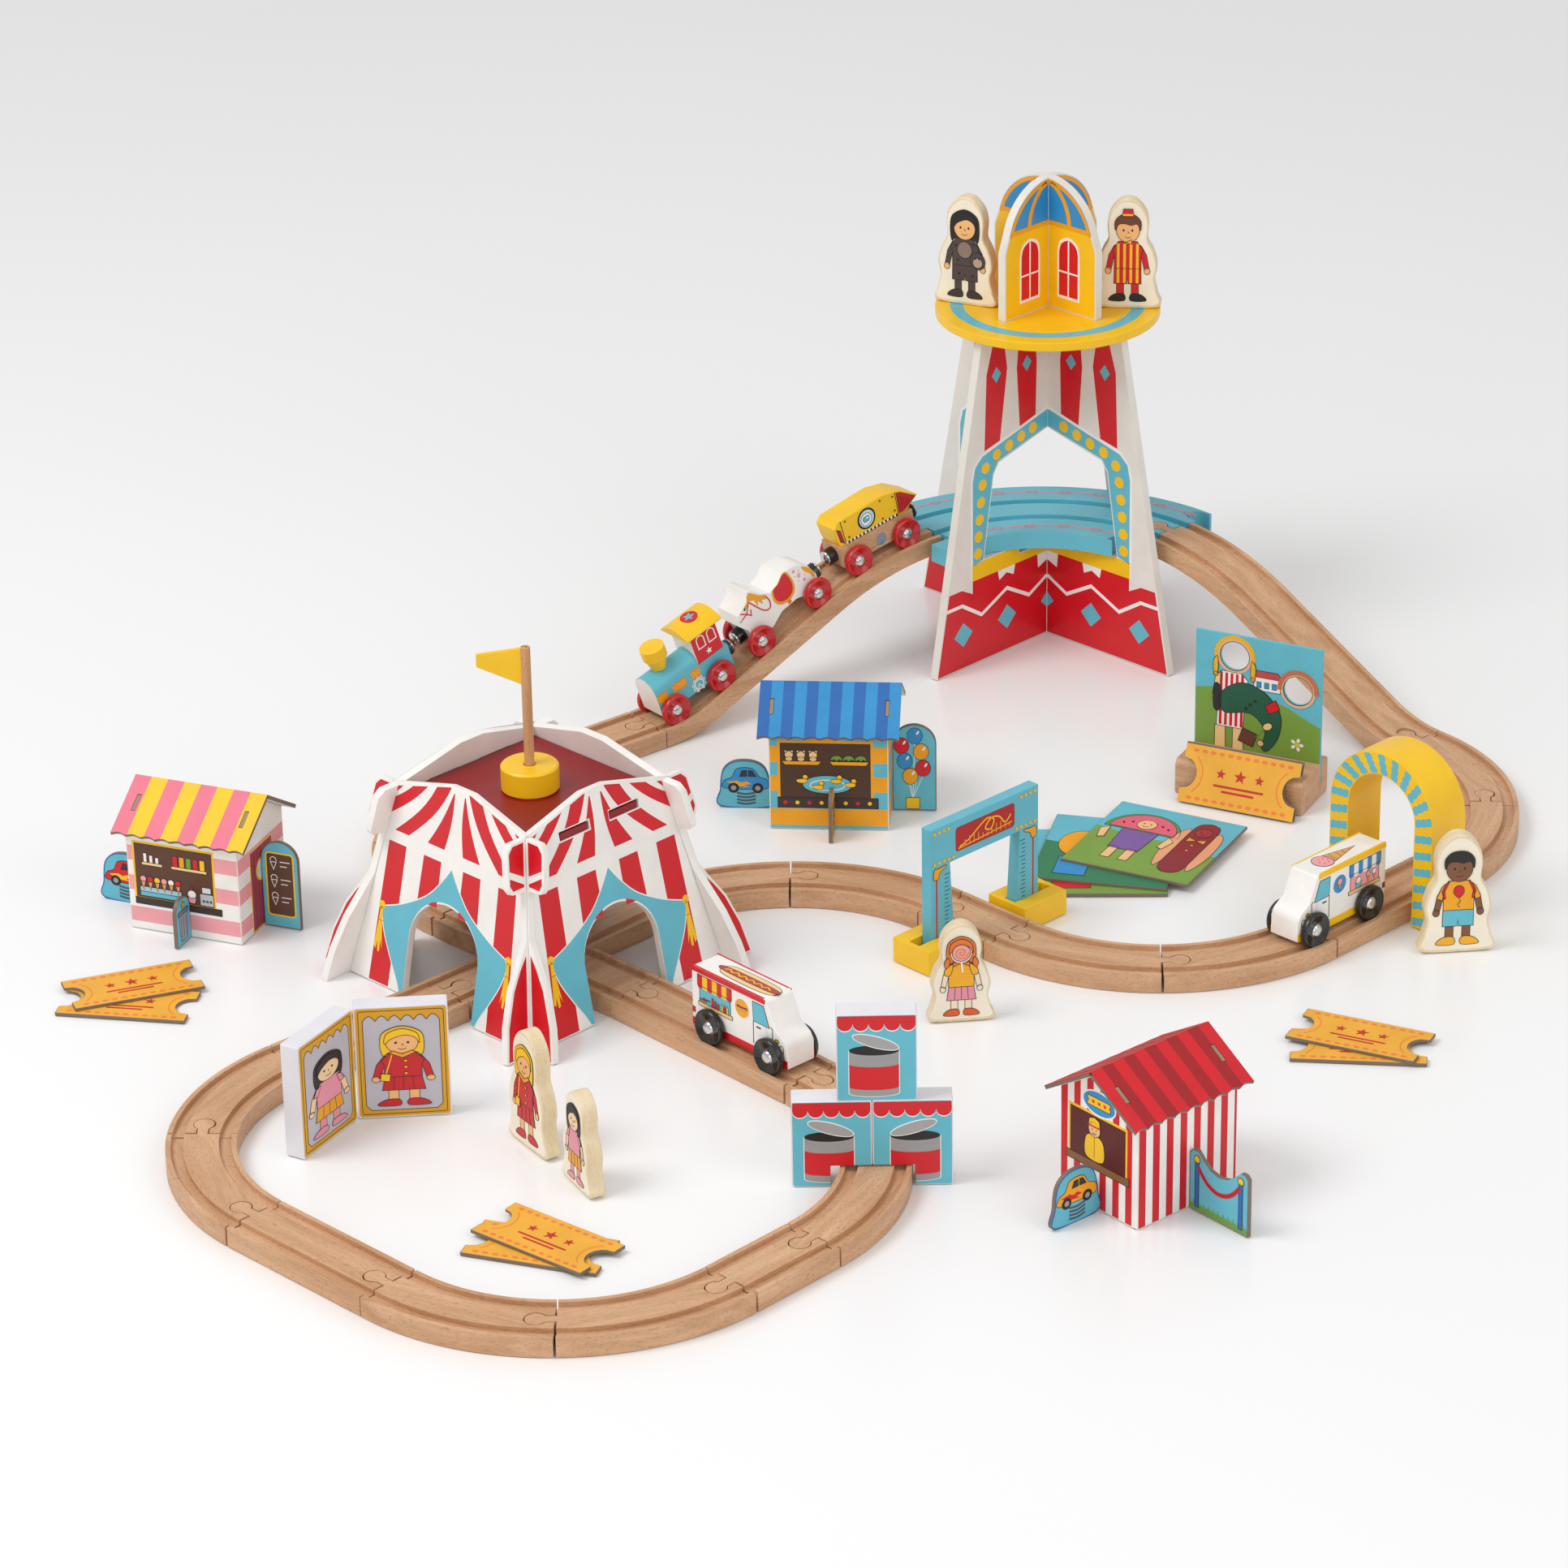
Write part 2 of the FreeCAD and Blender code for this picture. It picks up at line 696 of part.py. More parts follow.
def tent_wall(yaw, with_slots):
    """One leaning wall; local x runs along it and z up its slope."""
    place = at(TENT[0], TENT[1], 0, yaw=yaw).multiply(at(0, -BASE_RUN, 0, roll=-LEAN))
    thick = size("tent_board")

    def run(z):
        """Half length of the wall out to the corner line at height z."""
        return BASE_RUN + (TOP_RUN - BASE_RUN) * z / DIMENSIONS["tent_rise"]

    half = [
        (run(0) + 21, 0), (run(20) + 20.5, 20), (run(40) + 16, 40), (run(54) + 9, 54),
        (run(66) + 3.5, 66), (run(93) + 3.5, 93), (run(96) + 14, 94), (run(100) + 17, 98),
        (run(120) + 17.5, 119), (run(124) + 14, 123), (run(124) + 3, 123), (9.0, 135.0),
    ]
    ring = [(x, z * SLANT) for x, z in half]
    outline = [(-x, z) for x, z in ring] + [(x, z) for x, z in reversed(ring)]
    wall = board(outline, thick, place)
    door = size("tent_door_half")
    spring = 35.0
    opening = [
        centred_box(door * 2, 20, spring + 5, -5, place),
        cylinder(door, 20, place.multiply(at(0, 10, spring, roll=90))),
    ]
    if with_slots:
        level = (DIMENSIONS["tent_roof_level"] - 2.6) * SLANT
        opening += [centred_box(24, 20, 5.6, level, place, x=x) for x in (-20, 20)]
    return cut(wall, *opening)


def halved(wall, neighbours, keep_low):
    """Let a wall give way to its neighbours above or below mid height."""
    middle = DIMENSIONS["tent_peak"] / 2
    level = middle if keep_low else -20
    half = centred_box(400, 400, 20 + middle if not keep_low else 100, level, at(*TENT))
    return cut(wall, *[common(other, half) for other in neighbours])


slotted = [tent_wall(yaw, True) for yaw in (45, 225)]
whole = [tent_wall(yaw, False) for yaw in (135, 315)]
node(group([halved(wall, whole, True) for wall in slotted]), "tent_slotted_walls")
node(group([halved(wall, slotted, False) for wall in whole]), "tent_plain_walls")


def build_tent_roof():
    """A square board between the walls, with two tabs out of each slotted side."""
    z = DIMENSIONS["tent_roof_level"]
    line = BASE_RUN + (TOP_RUN - BASE_RUN) * z / DIMENSIONS["tent_rise"]
    side = 2 * (line - DIMENSIONS["tent_board"] * SLANT / 2 - 0.9)
    base = at(TENT[0], TENT[1], z - 2.5, yaw=45)
    plate = centred_box(side, side, size("tent_board"), 0, base)
    tabs = [centred_box(22, 2 * line + 4, 4.4, 0.3, base, x=x) for x in (-20, 20)]
    bore = cylinder(size("pole_radius") + 0.3, 20, at(TENT[0], TENT[1], z - 10))
    return cut(fuse(plate, *tabs), bore)


def build_pole_base():
    base = at(TENT[0], TENT[1], DIMENSIONS["tent_roof_level"] + 2.5)
    puck = cylinder(size("pole_base_radius"), size("pole_base_height"), base)
    bore = cylinder(size("pole_radius") + 0.08, size("pole_base_height") + 2,
                    base.multiply(at(0, 0, -1)))
    return cut(puck, bore)


POLE_FOOT = DIMENSIONS["tent_roof_level"] + 4.5
POLE_TOP = POLE_FOOT + DIMENSIONS["pole_length"]


def build_pole():
    pole = cylinder(size("pole_radius"), size("pole_length"), at(TENT[0], TENT[1], POLE_FOOT))
    saw = box(20, size("flag_thick") + 0.2, 40,
              (-20 + 1.0, -DIMENSIONS["flag_thick"] / 2 - 0.1, 0),
              at(TENT[0], TENT[1], POLE_TOP - DIMENSIONS["flag_drop"] - 1))
    return cut(pole, saw)


def build_flag():
    drop = size("flag_drop")
    tip = drop * 0.5
    outline = [(0.8, 0), (0.8, -drop), (-3.0, -drop), (-size("flag_length"), -tip),
               (-size("flag_length"), -tip + 8.0), (-3.0, 0)]
    return board(outline, size("flag_thick"), at(TENT[0], TENT[1], POLE_TOP - 0.4))


node(build_tent_roof(), "tent_roof_board")
node(build_pole_base(), "tent_pole_base")
node(build_pole(), "tent_pole")
node(build_flag(), "tent_flag")

# --------------------------------------------------------------------------
# Card kiosks: four walls, a folded roof, and flat cut-outs in slots
# --------------------------------------------------------------------------
CARD = DIMENSIONS["card_board"]
KIOSK_W = DIMENSIONS["kiosk_width"]
KIOSK_D = DIMENSIONS["kiosk_depth"]


ROOF_RUN = KIOSK_D / 2 + DIMENSIONS["kiosk_overhang"]
ROOF_PITCH = math.atan2(DIMENSIONS["kiosk_ridge"] - DIMENSIONS["kiosk_eave"], ROOF_RUN)
ROOF_UNDER = CARD / math.cos(ROOF_PITCH) + 0.1


def kiosk_walls(place):
    """Front and back panels, and two pointed side panels between them."""
    peak = size("kiosk_ridge") - ROOF_UNDER
    width = size("kiosk_width")
    depth = size("kiosk_depth")
    card = size("card_board")
    eave = peak - (KIOSK_D / 2) * math.tan(ROOF_PITCH)
    inner = peak - (KIOSK_D / 2 - CARD) * math.tan(ROOF_PITCH)
    front = box(width, card, eave, (0, 0, 0), place)
    back = box(width, card, eave, (0, KIOSK_D - CARD, 0), place)
    gable = [(card, 0), (depth - card, 0), (depth - card, inner), (depth / 2, peak), (card, inner)]
    left = board(gable, card, place.multiply(at(CARD / 2, 0, 0, yaw=90)))
    right = board(gable, card, place.multiply(at(KIOSK_W - CARD / 2, 0, 0, yaw=90)))
    return group([front, back, left, right])


def kiosk_roof(place):
    """Two sloping panels that meet at the ridge and rest on the side panels."""
    slope = ROOF_RUN / math.cos(ROOF_PITCH)
    panels = []
    for turn in (0, 180):
        side = place.multiply(at(KIOSK_W / 2, KIOSK_D / 2, DIMENSIONS["kiosk_ridge"], yaw=turn))
        lying = side.multiply(at(0, 0, 0, roll=math.degrees(ROOF_PITCH)))
        sheet = centred_box(size("kiosk_roof"), slope + 4, size("card_board"), -CARD, lying,
                            y=-slope / 2 + 2)
        slots = [centred_box(CARD + 0.4, 12, 10, -5, lying, x=x, y=-slope * 0.45)
                 for x in (-KIOSK_W / 2 + CARD / 2, KIOSK_W / 2 - CARD / 2)]
        beyond = box(200, 60, 60, (-100, 0, -30), side)
        panels.append(cut(sheet, beyond, *slots))
    return group(panels)


def rounded_sign(width, height, thick, place):
    """An upright flat shape with a round top, standing on y = 0 along +X."""
    top = width / 2
    slab = box(width, thick, height - top, (0, -thick / 2, 0), place)
    cap = cylinder(top, thick, place.multiply(at(top, thick / 2, height - top, roll=90)))
    return fuse(slab, cap)


def flat_car(place):
    """A springer-car outline on a low spring."""
    outline = [(0, 0), (30, 0), (32, 6), (33, 20), (27, 31), (14, 33), (4, 27), (-1, 17), (1, 8)]
    return board(outline, CARD, place)


def barrier(place):
    """A fence panel whose top sags between two posts."""
    outline = [
        (0, 0), (46, 0), (46, 36), (44, 38), (40, 38), (36, 34), (30, 29.5), (23, 28), (16, 29.5),
        (10, 34), (6, 38), (2, 38), (0, 36),
    ]
    return board(outline, CARD, place)


def kiosk_cutouts(place, side_sign, front_sign):
    car = flat_car(place.multiply(at(-1.4, KIOSK_D * 0.5, 0, yaw=180)))
    beside = place.multiply(at(KIOSK_W + 0.5, KIOSK_D * 0.5, 0))
    before = place.multiply(at(KIOSK_W * 0.53, -0.5, 0, yaw=-90))
    if side_sign is None:
        return group([car, barrier(before)])
    right = rounded_sign(side_sign[0], side_sign[1], CARD, beside)
    front = rounded_sign(front_sign[0], front_sign[1], CARD, before)
    return group([car, right, front])


KIOSKS = {
    "cone_kiosk": (at(-254.0, 61.3, 0, yaw=-21.8), (25.0, 58.0), (18.0, 31.0)),
    "duck_kiosk": (at(136.2, 184.0, 0, yaw=-4.9), (28.0, 60.0), (20.0, 33.0)),
    "red_kiosk": (at(334.2, -331.9, 0, yaw=39.8), None, None),
}
for label, (place, side_sign, front_sign) in KIOSKS.items():
    node(kiosk_walls(place), label + "_walls")
    node(kiosk_roof(place), label + "_roof")
    node(kiosk_cutouts(place, side_sign, front_sign), label + "_cutouts")

# --------------------------------------------------------------------------
# Vehicles: bodies and wheel sets in a frame that rolls along +X
# --------------------------------------------------------------------------
WIDE = DIMENSIONS["body_width"]
WHEEL_SIDE = DIMENSIONS["groove_offset"]


def ramp_height(u):
    """Running surface above the floor, u along the ramp from its low end."""
    first = LOW * math.sin(SLOPE)
    last = RUN - HIGH * math.sin(SLOPE)
    base = DIMENSIONS["track_height"]
    if u < first:
        return base + LOW - math.sqrt(LOW * LOW - u * u)
    if u < last:
        return base + LOW * (1 - math.cos(SLOPE)) + (u - first) * math.tan(SLOPE)
    return base + RISE - HIGH + math.sqrt(HIGH * HIGH - (RUN - u) ** 2)


def axle_over_ramp(u):
    """Axle centre of a train wheel that stands in the ramp's grooves at u."""
    step = 0.01
    tilt = math.atan2(ramp_height(u + step) - ramp_height(u - step), 2 * step)
    tall = axle_height("train_wheel")
    return u - tall * math.sin(tilt), ramp_height(u) + tall * math.cos(tilt)


def on_ramp(front, rear):
    """Frame and axle distance of a vehicle whose wheels stand at two places on the ramp."""
    low_x, low_z = axle_over_ramp(front)
    high_x, high_z = axle_over_ramp(rear)
    tilt = math.atan2(high_z - low_z, high_x - low_x)
    middle = at((low_x + high_x) / 2, 0, (low_z + high_z) / 2)
    place = ramp_down_place().multiply(middle).multiply(at(yaw=180)).multiply(
        at(pitch=math.degrees(tilt)))
    drop = place.multiply(at(0, 0, -axle_height("train_wheel")))
    return drop, math.hypot(high_x - low_x, high_z - low_z)


def axle_height(radius_alias):
    """Axle centre above the running surface, wheels just clear of the groove floor."""
    return DIMENSIONS[radius_alias] - DIMENSIONS["groove_depth"] + 0.1


def wheel(radius, x, y, z):
    """A wheel lying along Y with both edges of its tread bevelled."""
    bevel = DIMENSIONS["wheel_bevel"]
    thick = DIMENSIONS["wheel_thick"]
    parts = [cross_axle(radius, size("wheel_thick") - 2 * bevel, x, z, y)]
    for side in (-1, 1):
        edge = plain(y) + side * (thick / 2 - bevel)
        parts.append(cone(radius, radius - bevel, bevel, at(x, edge, z, roll=-90 * side)))
    parts.append(cross_axle(3.4, size("wheel_thick") + 0.7, x, z, y))
    return parts


def wheel_set(place, x, radius_alias):
    """Two wheels on one steel axle."""
    radius = size(radius_alias)
    z = axle_height(radius_alias)
    parts = [cross_axle(size("axle_radius"), 2 * WHEEL_SIDE + 3.0, x, z)]
    for side in (-1, 1):
        parts += wheel(radius, x, side * WHEEL_SIDE, z)
    made = fuse(*parts)
    made.Placement = place
    return made


def axle_bores(base, radius_alias):
    z = axle_height(radius_alias)
    bore = size("axle_radius") + size("axle_play")
    return [cross_axle(bore, WIDE + 4, x, z) for x in (-base / 2, base / 2)]


def truck(label, place):
    """A step-van: one sawn block with a sloping windscreen and a short nose."""
    base = DIMENSIONS["truck_base"]
    outline = [
        (-43.3, 3.5), (38.0, 3.5), (38.0, 16.0), (35.5, 20.5), (27.5, 25.5), (21.0, 40.0),
        (18.5, 42.0), (-41.8, 42.0), (-43.3, 40.5),
    ]
    body = cut(board(outline, size("body_width")), *axle_bores(base, "truck_wheel"))
    body.Placement = place
    node(body, label + "_body")
    node(wheel_set(place, base / 2, "truck_wheel"), label + "_front_wheels")
    node(wheel_set(place, -base / 2, "truck_wheel"), label + "_rear_wheels")


TOP = DIMENSIONS["track_height"]
truck("hotdog_truck", start(FRONT_LOOP, "truck_straight", TOP).multiply(at(105.5)))
# its front wheels stand on the curve before, so it keeps to that side of the grooves
truck("icecream_truck", start(REAR_LOOP, "arch_straight", TOP).multiply(at(12.0, 0.7, yaw=180)))


def magnet(x, z, out):
    """A round magnet in its cup, on the end of a vehicle."""
    radius = size("magnet_radius")
    length = DIMENSIONS["magnet_length"]
    cup = cylinder(radius, length, at(x, 0, z, pitch=90 * out))
    cap = cylinder(radius * 0.8, 1.2, at(x + out * length, 0, z, pitch=90 * out))
    return fuse(cup, cap)


def build_engine():
    place, base = on_ramp(13.9, 53.7)
    width = size("body_width")
    low, shoulder = 7.0, 24.0
    frame_block = box(62.5, width, shoulder - low, (-33.5, -WIDE / 2, low))
    boiler = cylinder(width / 2, 37.0, at(-8.0, 0, shoulder, pitch=90))
    body = cut(fuse(frame_block, boiler), *axle_bores(base, "train_wheel"))
    funnel_x = 14.0
    dent = cylinder(3.0, 6.0, at(funnel_x, 0, shoulder + WIDE / 2 - 4.0))
    body = cut(body, dent)
    cab = box(22.0, width, 22.5, (-30.3, -WIDE / 2, shoulder + 0.0))
    roof_r = 22.0
    roof_z = shoulder + 22.5
    arc = cylinder(roof_r, 30.0, at(-34.0, 0, roof_z + 6.2 - roof_r, pitch=90))
    roof = common(arc, box(30.0, 29.0, 20.0, (-34.0, -14.5, roof_z)))
    stem = cylinder(2.9, 4.0, at(funnel_x, 0, shoulder + WIDE / 2 - 4.0))
    lower = cone(5.0, 7.6, 9.0, at(funnel_x, 0, shoulder + WIDE / 2 - 0.3))
    upper = cylinder(8.4, 8.0, at(funnel_x, 0, shoulder + WIDE / 2 + 8.7))
    funnel = fuse(stem, lower, upper)
    crown = cut(body, cylinder(9.0, 20.0, at(funnel_x, 0, shoulder + WIDE / 2 - 0.3)))
    pieces = {
        "engine_body": crown, "engine_cab": cab, "engine_roof": roof,
        "engine_funnel": funnel, "engine_magnet": magnet(-33.5, 13.5, -1),
    }
    for label, piece in pieces.items():
        piece.Placement = place.multiply(piece.Placement)
        node(piece, label)
    node(wheel_set(place, base / 2, "train_wheel"), "engine_front_wheels")
    node(wheel_set(place, -base / 2, "train_wheel"), "engine_rear_wheels")


def build_horse():
    place, base = on_ramp(87.6, 134.8)
    outline = [
        (-31.5, 8.0), (-22.0, 9.0), (-12.0, 13.5), (2.0, 13.5), (12.0, 8.5), (29.0, 8.0),
        (30.5, 20.0), (35.5, 27.5), (33.0, 34.0), (23.5, 38.5), (20.0, 45.0), (16.0, 43.0),
        (11.0, 36.0), (5.0, 32.0), (-2.0, 33.5), (-9.0, 38.0), (-20.0, 35.5), (-28.5, 29.0),
        (-32.0, 19.0),
    ]
    body = cut(board(outline, size("body_width")), *axle_bores(base, "train_wheel"))
    magnets = group([magnet(30.0, 13.5, 1), magnet(-32.0, 13.5, -1)])
    nose_room = cylinder(6.2, 8.0, at(30.0, 0, 13.5, pitch=90))
    for label, piece in (("horse_body", cut(body, nose_room)), ("horse_magnets", magnets)):
        piece.Placement = place
        node(piece, label)
    node(wheel_set(place, base / 2, "train_wheel"), "horse_front_wheels")
    node(wheel_set(place, -base / 2, "train_wheel"), "horse_rear_wheels")


def build_rocket():
    place, base = on_ramp(169.1, 208.6)
    chassis = box(62.0, size("body_width"), 15.0, (-31.0, -WIDE / 2, 6.0))
    chassis = cut(chassis, *axle_bores(base, "train_wheel"))
    outline = [
        (30.0, 21.0), (31.5, 25.0), (33.5, 36.0), (29.0, 40.0), (-10.0, 41.5), (-24.0, 38.0),
        (-38.0, 28.5), (-26.0, 21.0),
    ]
    rocket = board(outline, 19.0)
    magnets = group([magnet(31.0, 13.5, 1), magnet(-31.0, 13.5, -1)])
    pieces = {"rocket_chassis": chassis, "rocket_hull": rocket, "rocket_magnets": magnets}
    for label, piece in pieces.items():
        piece.Placement = place
        node(piece, label)
    node(wheel_set(place, base / 2, "train_wheel"), "rocket_front_wheels")
    node(wheel_set(place, -base / 2, "train_wheel"), "rocket_rear_wheels")


build_engine()
build_horse()
build_rocket()

# --------------------------------------------------------------------------
# Upright wooden pieces beside the track
# --------------------------------------------------------------------------


def figure(x, y, z, yaw, tall, wide):
    """A standing person: a round head on a sawn body, cut from one block."""
    place = at(x, y, z, yaw=yaw)
    thick = size("figure_thick")
    head_r = wide * 0.31
    body_top = tall - 1.75 * head_r
    outline = [
        (-wide * 0.36, 0), (wide * 0.36, 0), (wide * 0.5, tall * 0.3), (wide * 0.44, body_top - 3),
        (wide * 0.25, body_top + 4), (-wide * 0.25, body_top + 4), (-wide * 0.44, body_top - 3),
        (-wide * 0.5, tall * 0.3),
    ]
    half = DIMENSIONS["figure_thick"] / 2
    head = cylinder(head_r, thick, place.multiply(at(0, half, tall - head_r, roll=90)))
    return fuse(board(outline, thick, place), head)


LEVEL = DIMENSIONS["platform_level"]
node(group([
    figure(273.0, 492.0, LEVEL, -25, 75.0, 40.0),
    figure(378.0, 480.0, LEVEL, -7, 76.0, 40.0),
]), "platform_figures")
node(group([
    figure(1.5, -224.3, 0, -57, 74.0, 38.0),
    figure(30.3, -270.9, 0, -62.5, 60.0, 33.0),
    figure(246.5, -78.3, 0, 6, 63.5, 36.0),
    figure(546.3, -0.2, 0, 5, 78.0, 42.0),
]), "floor_figures")


def mirror_block(x, y, yaw, wide):
    return box(wide, size("mirror_thick"), size("mirror_height"), (0, 0, 0), at(x, y, 0, yaw=yaw))


FOLD = (-100.3, -189.1)
node(group([
    mirror_block(FOLD[0], FOLD[1], 4.1, 53.5),
    mirror_block(-128.0, -236.5, 59.6, 54.0),
]), "mirror_blocks")


def build_cans():
    """Three picture blocks: two that bridge the track and one on top."""
    wide = size("can_width")
    tall = size("can_height")
    deep = size("can_depth")
    place = at(146.0, -277.0, 0)
    left = box(wide, deep, tall, (0, 0, 0), place)
    right = box(wide, deep, tall, (plain(wide) + 0.4, 0, 0), place)
    top = box(wide, deep, tall, (plain(wide) * 0.57, 0, plain(tall)), place)
    room = box(47.0, 60.0, 14.0, (plain(wide) - 23.0, -20, -1), place)
    return group([cut(left, room), cut(right, room), top])


node(build_cans(), "can_blocks")


def build_arch_tunnel():
    place = start(REAR_LOOP, "arch_straight").multiply(at(61.5))
    outer = size("arch_half")
    inner = size("arch_inner")
    depth = size("arch_depth")
    spring = size("arch_height") - outer
    shell = fuse(
        box(depth, outer * 2, spring, (0, -plain(outer), 0), place),
        cylinder(outer, depth, place.multiply(at(0, 0, spring, pitch=90))),
    )
    passage = [
        box(80, inner * 2, spring + 1, (-20, -plain(inner), -1), place),
        cylinder(inner, 80, place.multiply(at(-20, 0, spring, pitch=90))),
    ]
    return cut(shell, *passage)


node(build_arch_tunnel(), "arch_tunnel")

GAUGE = start(REAR_LOOP, "gauge_short").multiply(at(33.0))
GAUGE_SPAN = 92.0


def build_gauge():
    """A height gauge: a gantry on two posts, standing in slotted feet."""
    thick = size("gauge_thick")
    tall = size("gauge_height")
    half = GAUGE_SPAN / 2
    outline = [
        (-half, 5), (-half + 20, 5), (-half + 16, 62), (half - 16, 62), (half - 20, 5), (half, 5),
        (half, tall), (-half, tall),
    ]
    turned = GAUGE.multiply(at(yaw=90))
    gantry = board(outline, thick, turned)
    feet = []
    for x in (-half + 5, half - 5):
        foot = centred_box(37.0, 31.0, 16.0, 0, turned, x=x)
        saw = centred_box(30.6, thick + 0.6, 16.0, 5.0, turned, x=x)
        feet.append(cut(foot, saw))
    return gantry, group(feet)


gantry, feet = build_gauge()
node(gantry, "gauge_gantry")
node(feet, "gauge_feet")

# --------------------------------------------------------------------------
# Photo stand, tickets and picture cards
# --------------------------------------------------------------------------
STAND = at(393.9, 226.3, 0, yaw=-26.8)
PIC = DIMENSIONS["picture_side"]
PIC_TALL = DIMENSIONS["picture_tall"]
PAPER = DIMENSIONS["card_thick"]


def build_stand():
    """A sawn block with a slot that holds a picture board upright."""
    block = box(87.0, 44.0, 23.0, (0, 0, 0), STAND)
    slot = box(100.0, PAPER + 0.6, 18.0, (-5, 31.0, 9.3), STAND)
    edge = box(100.0, 20.0, 12.0, (-5, -10.0, 0), STAND.multiply(at(0, 1.5, 21.5, roll=45)))
    return cut(block, slot, edge)


def build_picture():
    """A square board with two round face holes."""
    board_at = STAND.multiply(at(0.5, 31.3, 9.3))
    plate = box(PIC, PAPER, PIC_TALL, (0, 0, 0), board_at)
    holes = [
        cylinder(9.6, 20, board_at.multiply(at(x, 10, z, roll=90)))
        for x, z in ((26.7, 77.7), (70.0, 61.4))
    ]
    return cut(plate, *holes)


def ticket(place, long=79.0, tall=38.0, thick=PAPER):
    """A ticket card with a round bite out of each short side."""
    plate = box(long, tall, thick, (-long / 2, -tall / 2, 0), place)
    bites = [cylinder(10.0, thick + 2, place.multiply(at(x, 0, -1))) for x in (-long / 2, long / 2)]
    return cut(plate, *bites)


LEAN = (19.0 * math.cos(math.radians(65)), 19.0 * math.sin(math.radians(65)))
node(build_stand(), "picture_stand")
node(build_picture(), "picture_board")
node(group([
    ticket(STAND.multiply(at(46.5, -9.7 + LEAN[0], LEAN[1], roll=65))),
    ticket(at(-246.0, -43.0, 0, yaw=-10)),
    ticket(at(-245.0, -23.2, PAPER, yaw=19.5)),
    ticket(at(8.0, -341.2, 0, yaw=-19)),
    ticket(at(12.0, -335.2, PAPER, yaw=-39)),
    ticket(at(476.0, -126.0, 0, yaw=-7)),
    ticket(at(477.8, -116.0, PAPER, yaw=-26)),
]), "ticket_cards")


def picture_card(x, y, z, yaw):
    return centred_box(PIC, PIC_TALL, size("card_thick"), z, at(x, y, 0, yaw=yaw))


node(group([
    picture_card(338.0, 124.0, 0.0, -2.0),
    picture_card(348.0, 134.0, PAPER, -14.0),
    picture_card(375.5, 141.0, 2 * PAPER, -28.2),
]), "picture_cards")

# --------------------------------------------------------------------------
# Recompute, check and export
# --------------------------------------------------------------------------
doc.recompute()
faults = [obj.Name for obj in doc.Objects if {"Invalid", "Error"} & set(obj.State)]
faults += [obj.Label for obj in NODES if obj.Shape.isNull() or not obj.Shape.isValid()]
if faults:
    raise RuntimeError("faulty objects: " + ", ".join(faults))
for obj in NODES:
    obj.Shape.exportStep(os.path.join("parts", obj.Label + ".step"))
print("exported", len(NODES), "nodes")
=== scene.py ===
import json
import math
import bmesh
import bpy
from mathutils import Matrix, Vector


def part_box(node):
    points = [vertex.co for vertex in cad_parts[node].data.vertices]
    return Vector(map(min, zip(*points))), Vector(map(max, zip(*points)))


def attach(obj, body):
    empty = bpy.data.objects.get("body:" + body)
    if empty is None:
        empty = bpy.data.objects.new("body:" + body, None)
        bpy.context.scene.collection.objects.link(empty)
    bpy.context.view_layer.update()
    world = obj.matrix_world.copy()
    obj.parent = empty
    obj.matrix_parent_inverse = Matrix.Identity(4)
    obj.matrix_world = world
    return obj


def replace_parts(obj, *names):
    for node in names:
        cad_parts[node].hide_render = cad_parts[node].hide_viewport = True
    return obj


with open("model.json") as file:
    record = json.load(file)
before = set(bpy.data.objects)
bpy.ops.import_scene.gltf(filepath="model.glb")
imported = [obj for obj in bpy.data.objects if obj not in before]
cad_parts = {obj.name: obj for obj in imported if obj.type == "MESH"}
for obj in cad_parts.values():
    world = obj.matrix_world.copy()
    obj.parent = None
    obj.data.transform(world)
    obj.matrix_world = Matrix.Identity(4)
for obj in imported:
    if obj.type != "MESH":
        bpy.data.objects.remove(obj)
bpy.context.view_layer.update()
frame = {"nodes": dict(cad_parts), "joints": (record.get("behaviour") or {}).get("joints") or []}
MM = 0.001

# ------------------------------------------------------------------ colours
RED = "D3111F"
DARK_RED = "8E0F18"
SKY = "62BACD"
BLUE = "2F8FCB"
DEEP_BLUE = "2667B0"
ORANGE = "F3A40C"
YELLOW = "F8C514"
WHITE = "F4F1EC"
CREAM = "F3EAD2"
BLACK = "1B1714"
BROWN = "5A3522"
PINK = "E8768A"
PALE_PINK = "F0A2A8"
TAN = "F3CD8C"
SKIN = "F2BF85"
GREY = "9B9B9B"
GREEN = "6E9C3A"
CARD_EDGE = "7A6A5C"
AMBER = "EFA312"
ROSE = "E593A4"
SLATE_BROWN = "4A3D3A"
PEACH = "F2B777"
TANGERINE = "E8791E"
CARMINE = "C9131F"
PALE_CREAM = "F5E3C3"
WAFFLE = "E0A458"
OCHRE = "C98E10"
CHESTNUT = "80512F"
GRASS = "7BA041"
INK = "15151A"


def linear(code):
    """A hex colour as linear red, green, blue and alpha."""
    out = []
    for k in (0, 2, 4):
        c = int(code[k:k + 2], 16) / 255
        out.append(c / 12.92 if c <= 0.04045 else ((c + 0.055) / 1.055) ** 2.4)
    return (*out, 1.0)


# ---------------------------------------------------------------- materials
def new_material(name):
    mat = bpy.data.materials.new(name)
    mat.use_nodes = True
    tree = mat.node_tree
    return mat, tree, tree.nodes["Principled BSDF"]


def add(tree, kind, **values):
    node = tree.nodes.new(kind)
    for key, value in values.items():
        if key in node.inputs.keys():
            node.inputs[key].default_value = value
        else:
            setattr(node, key, value)
    return node


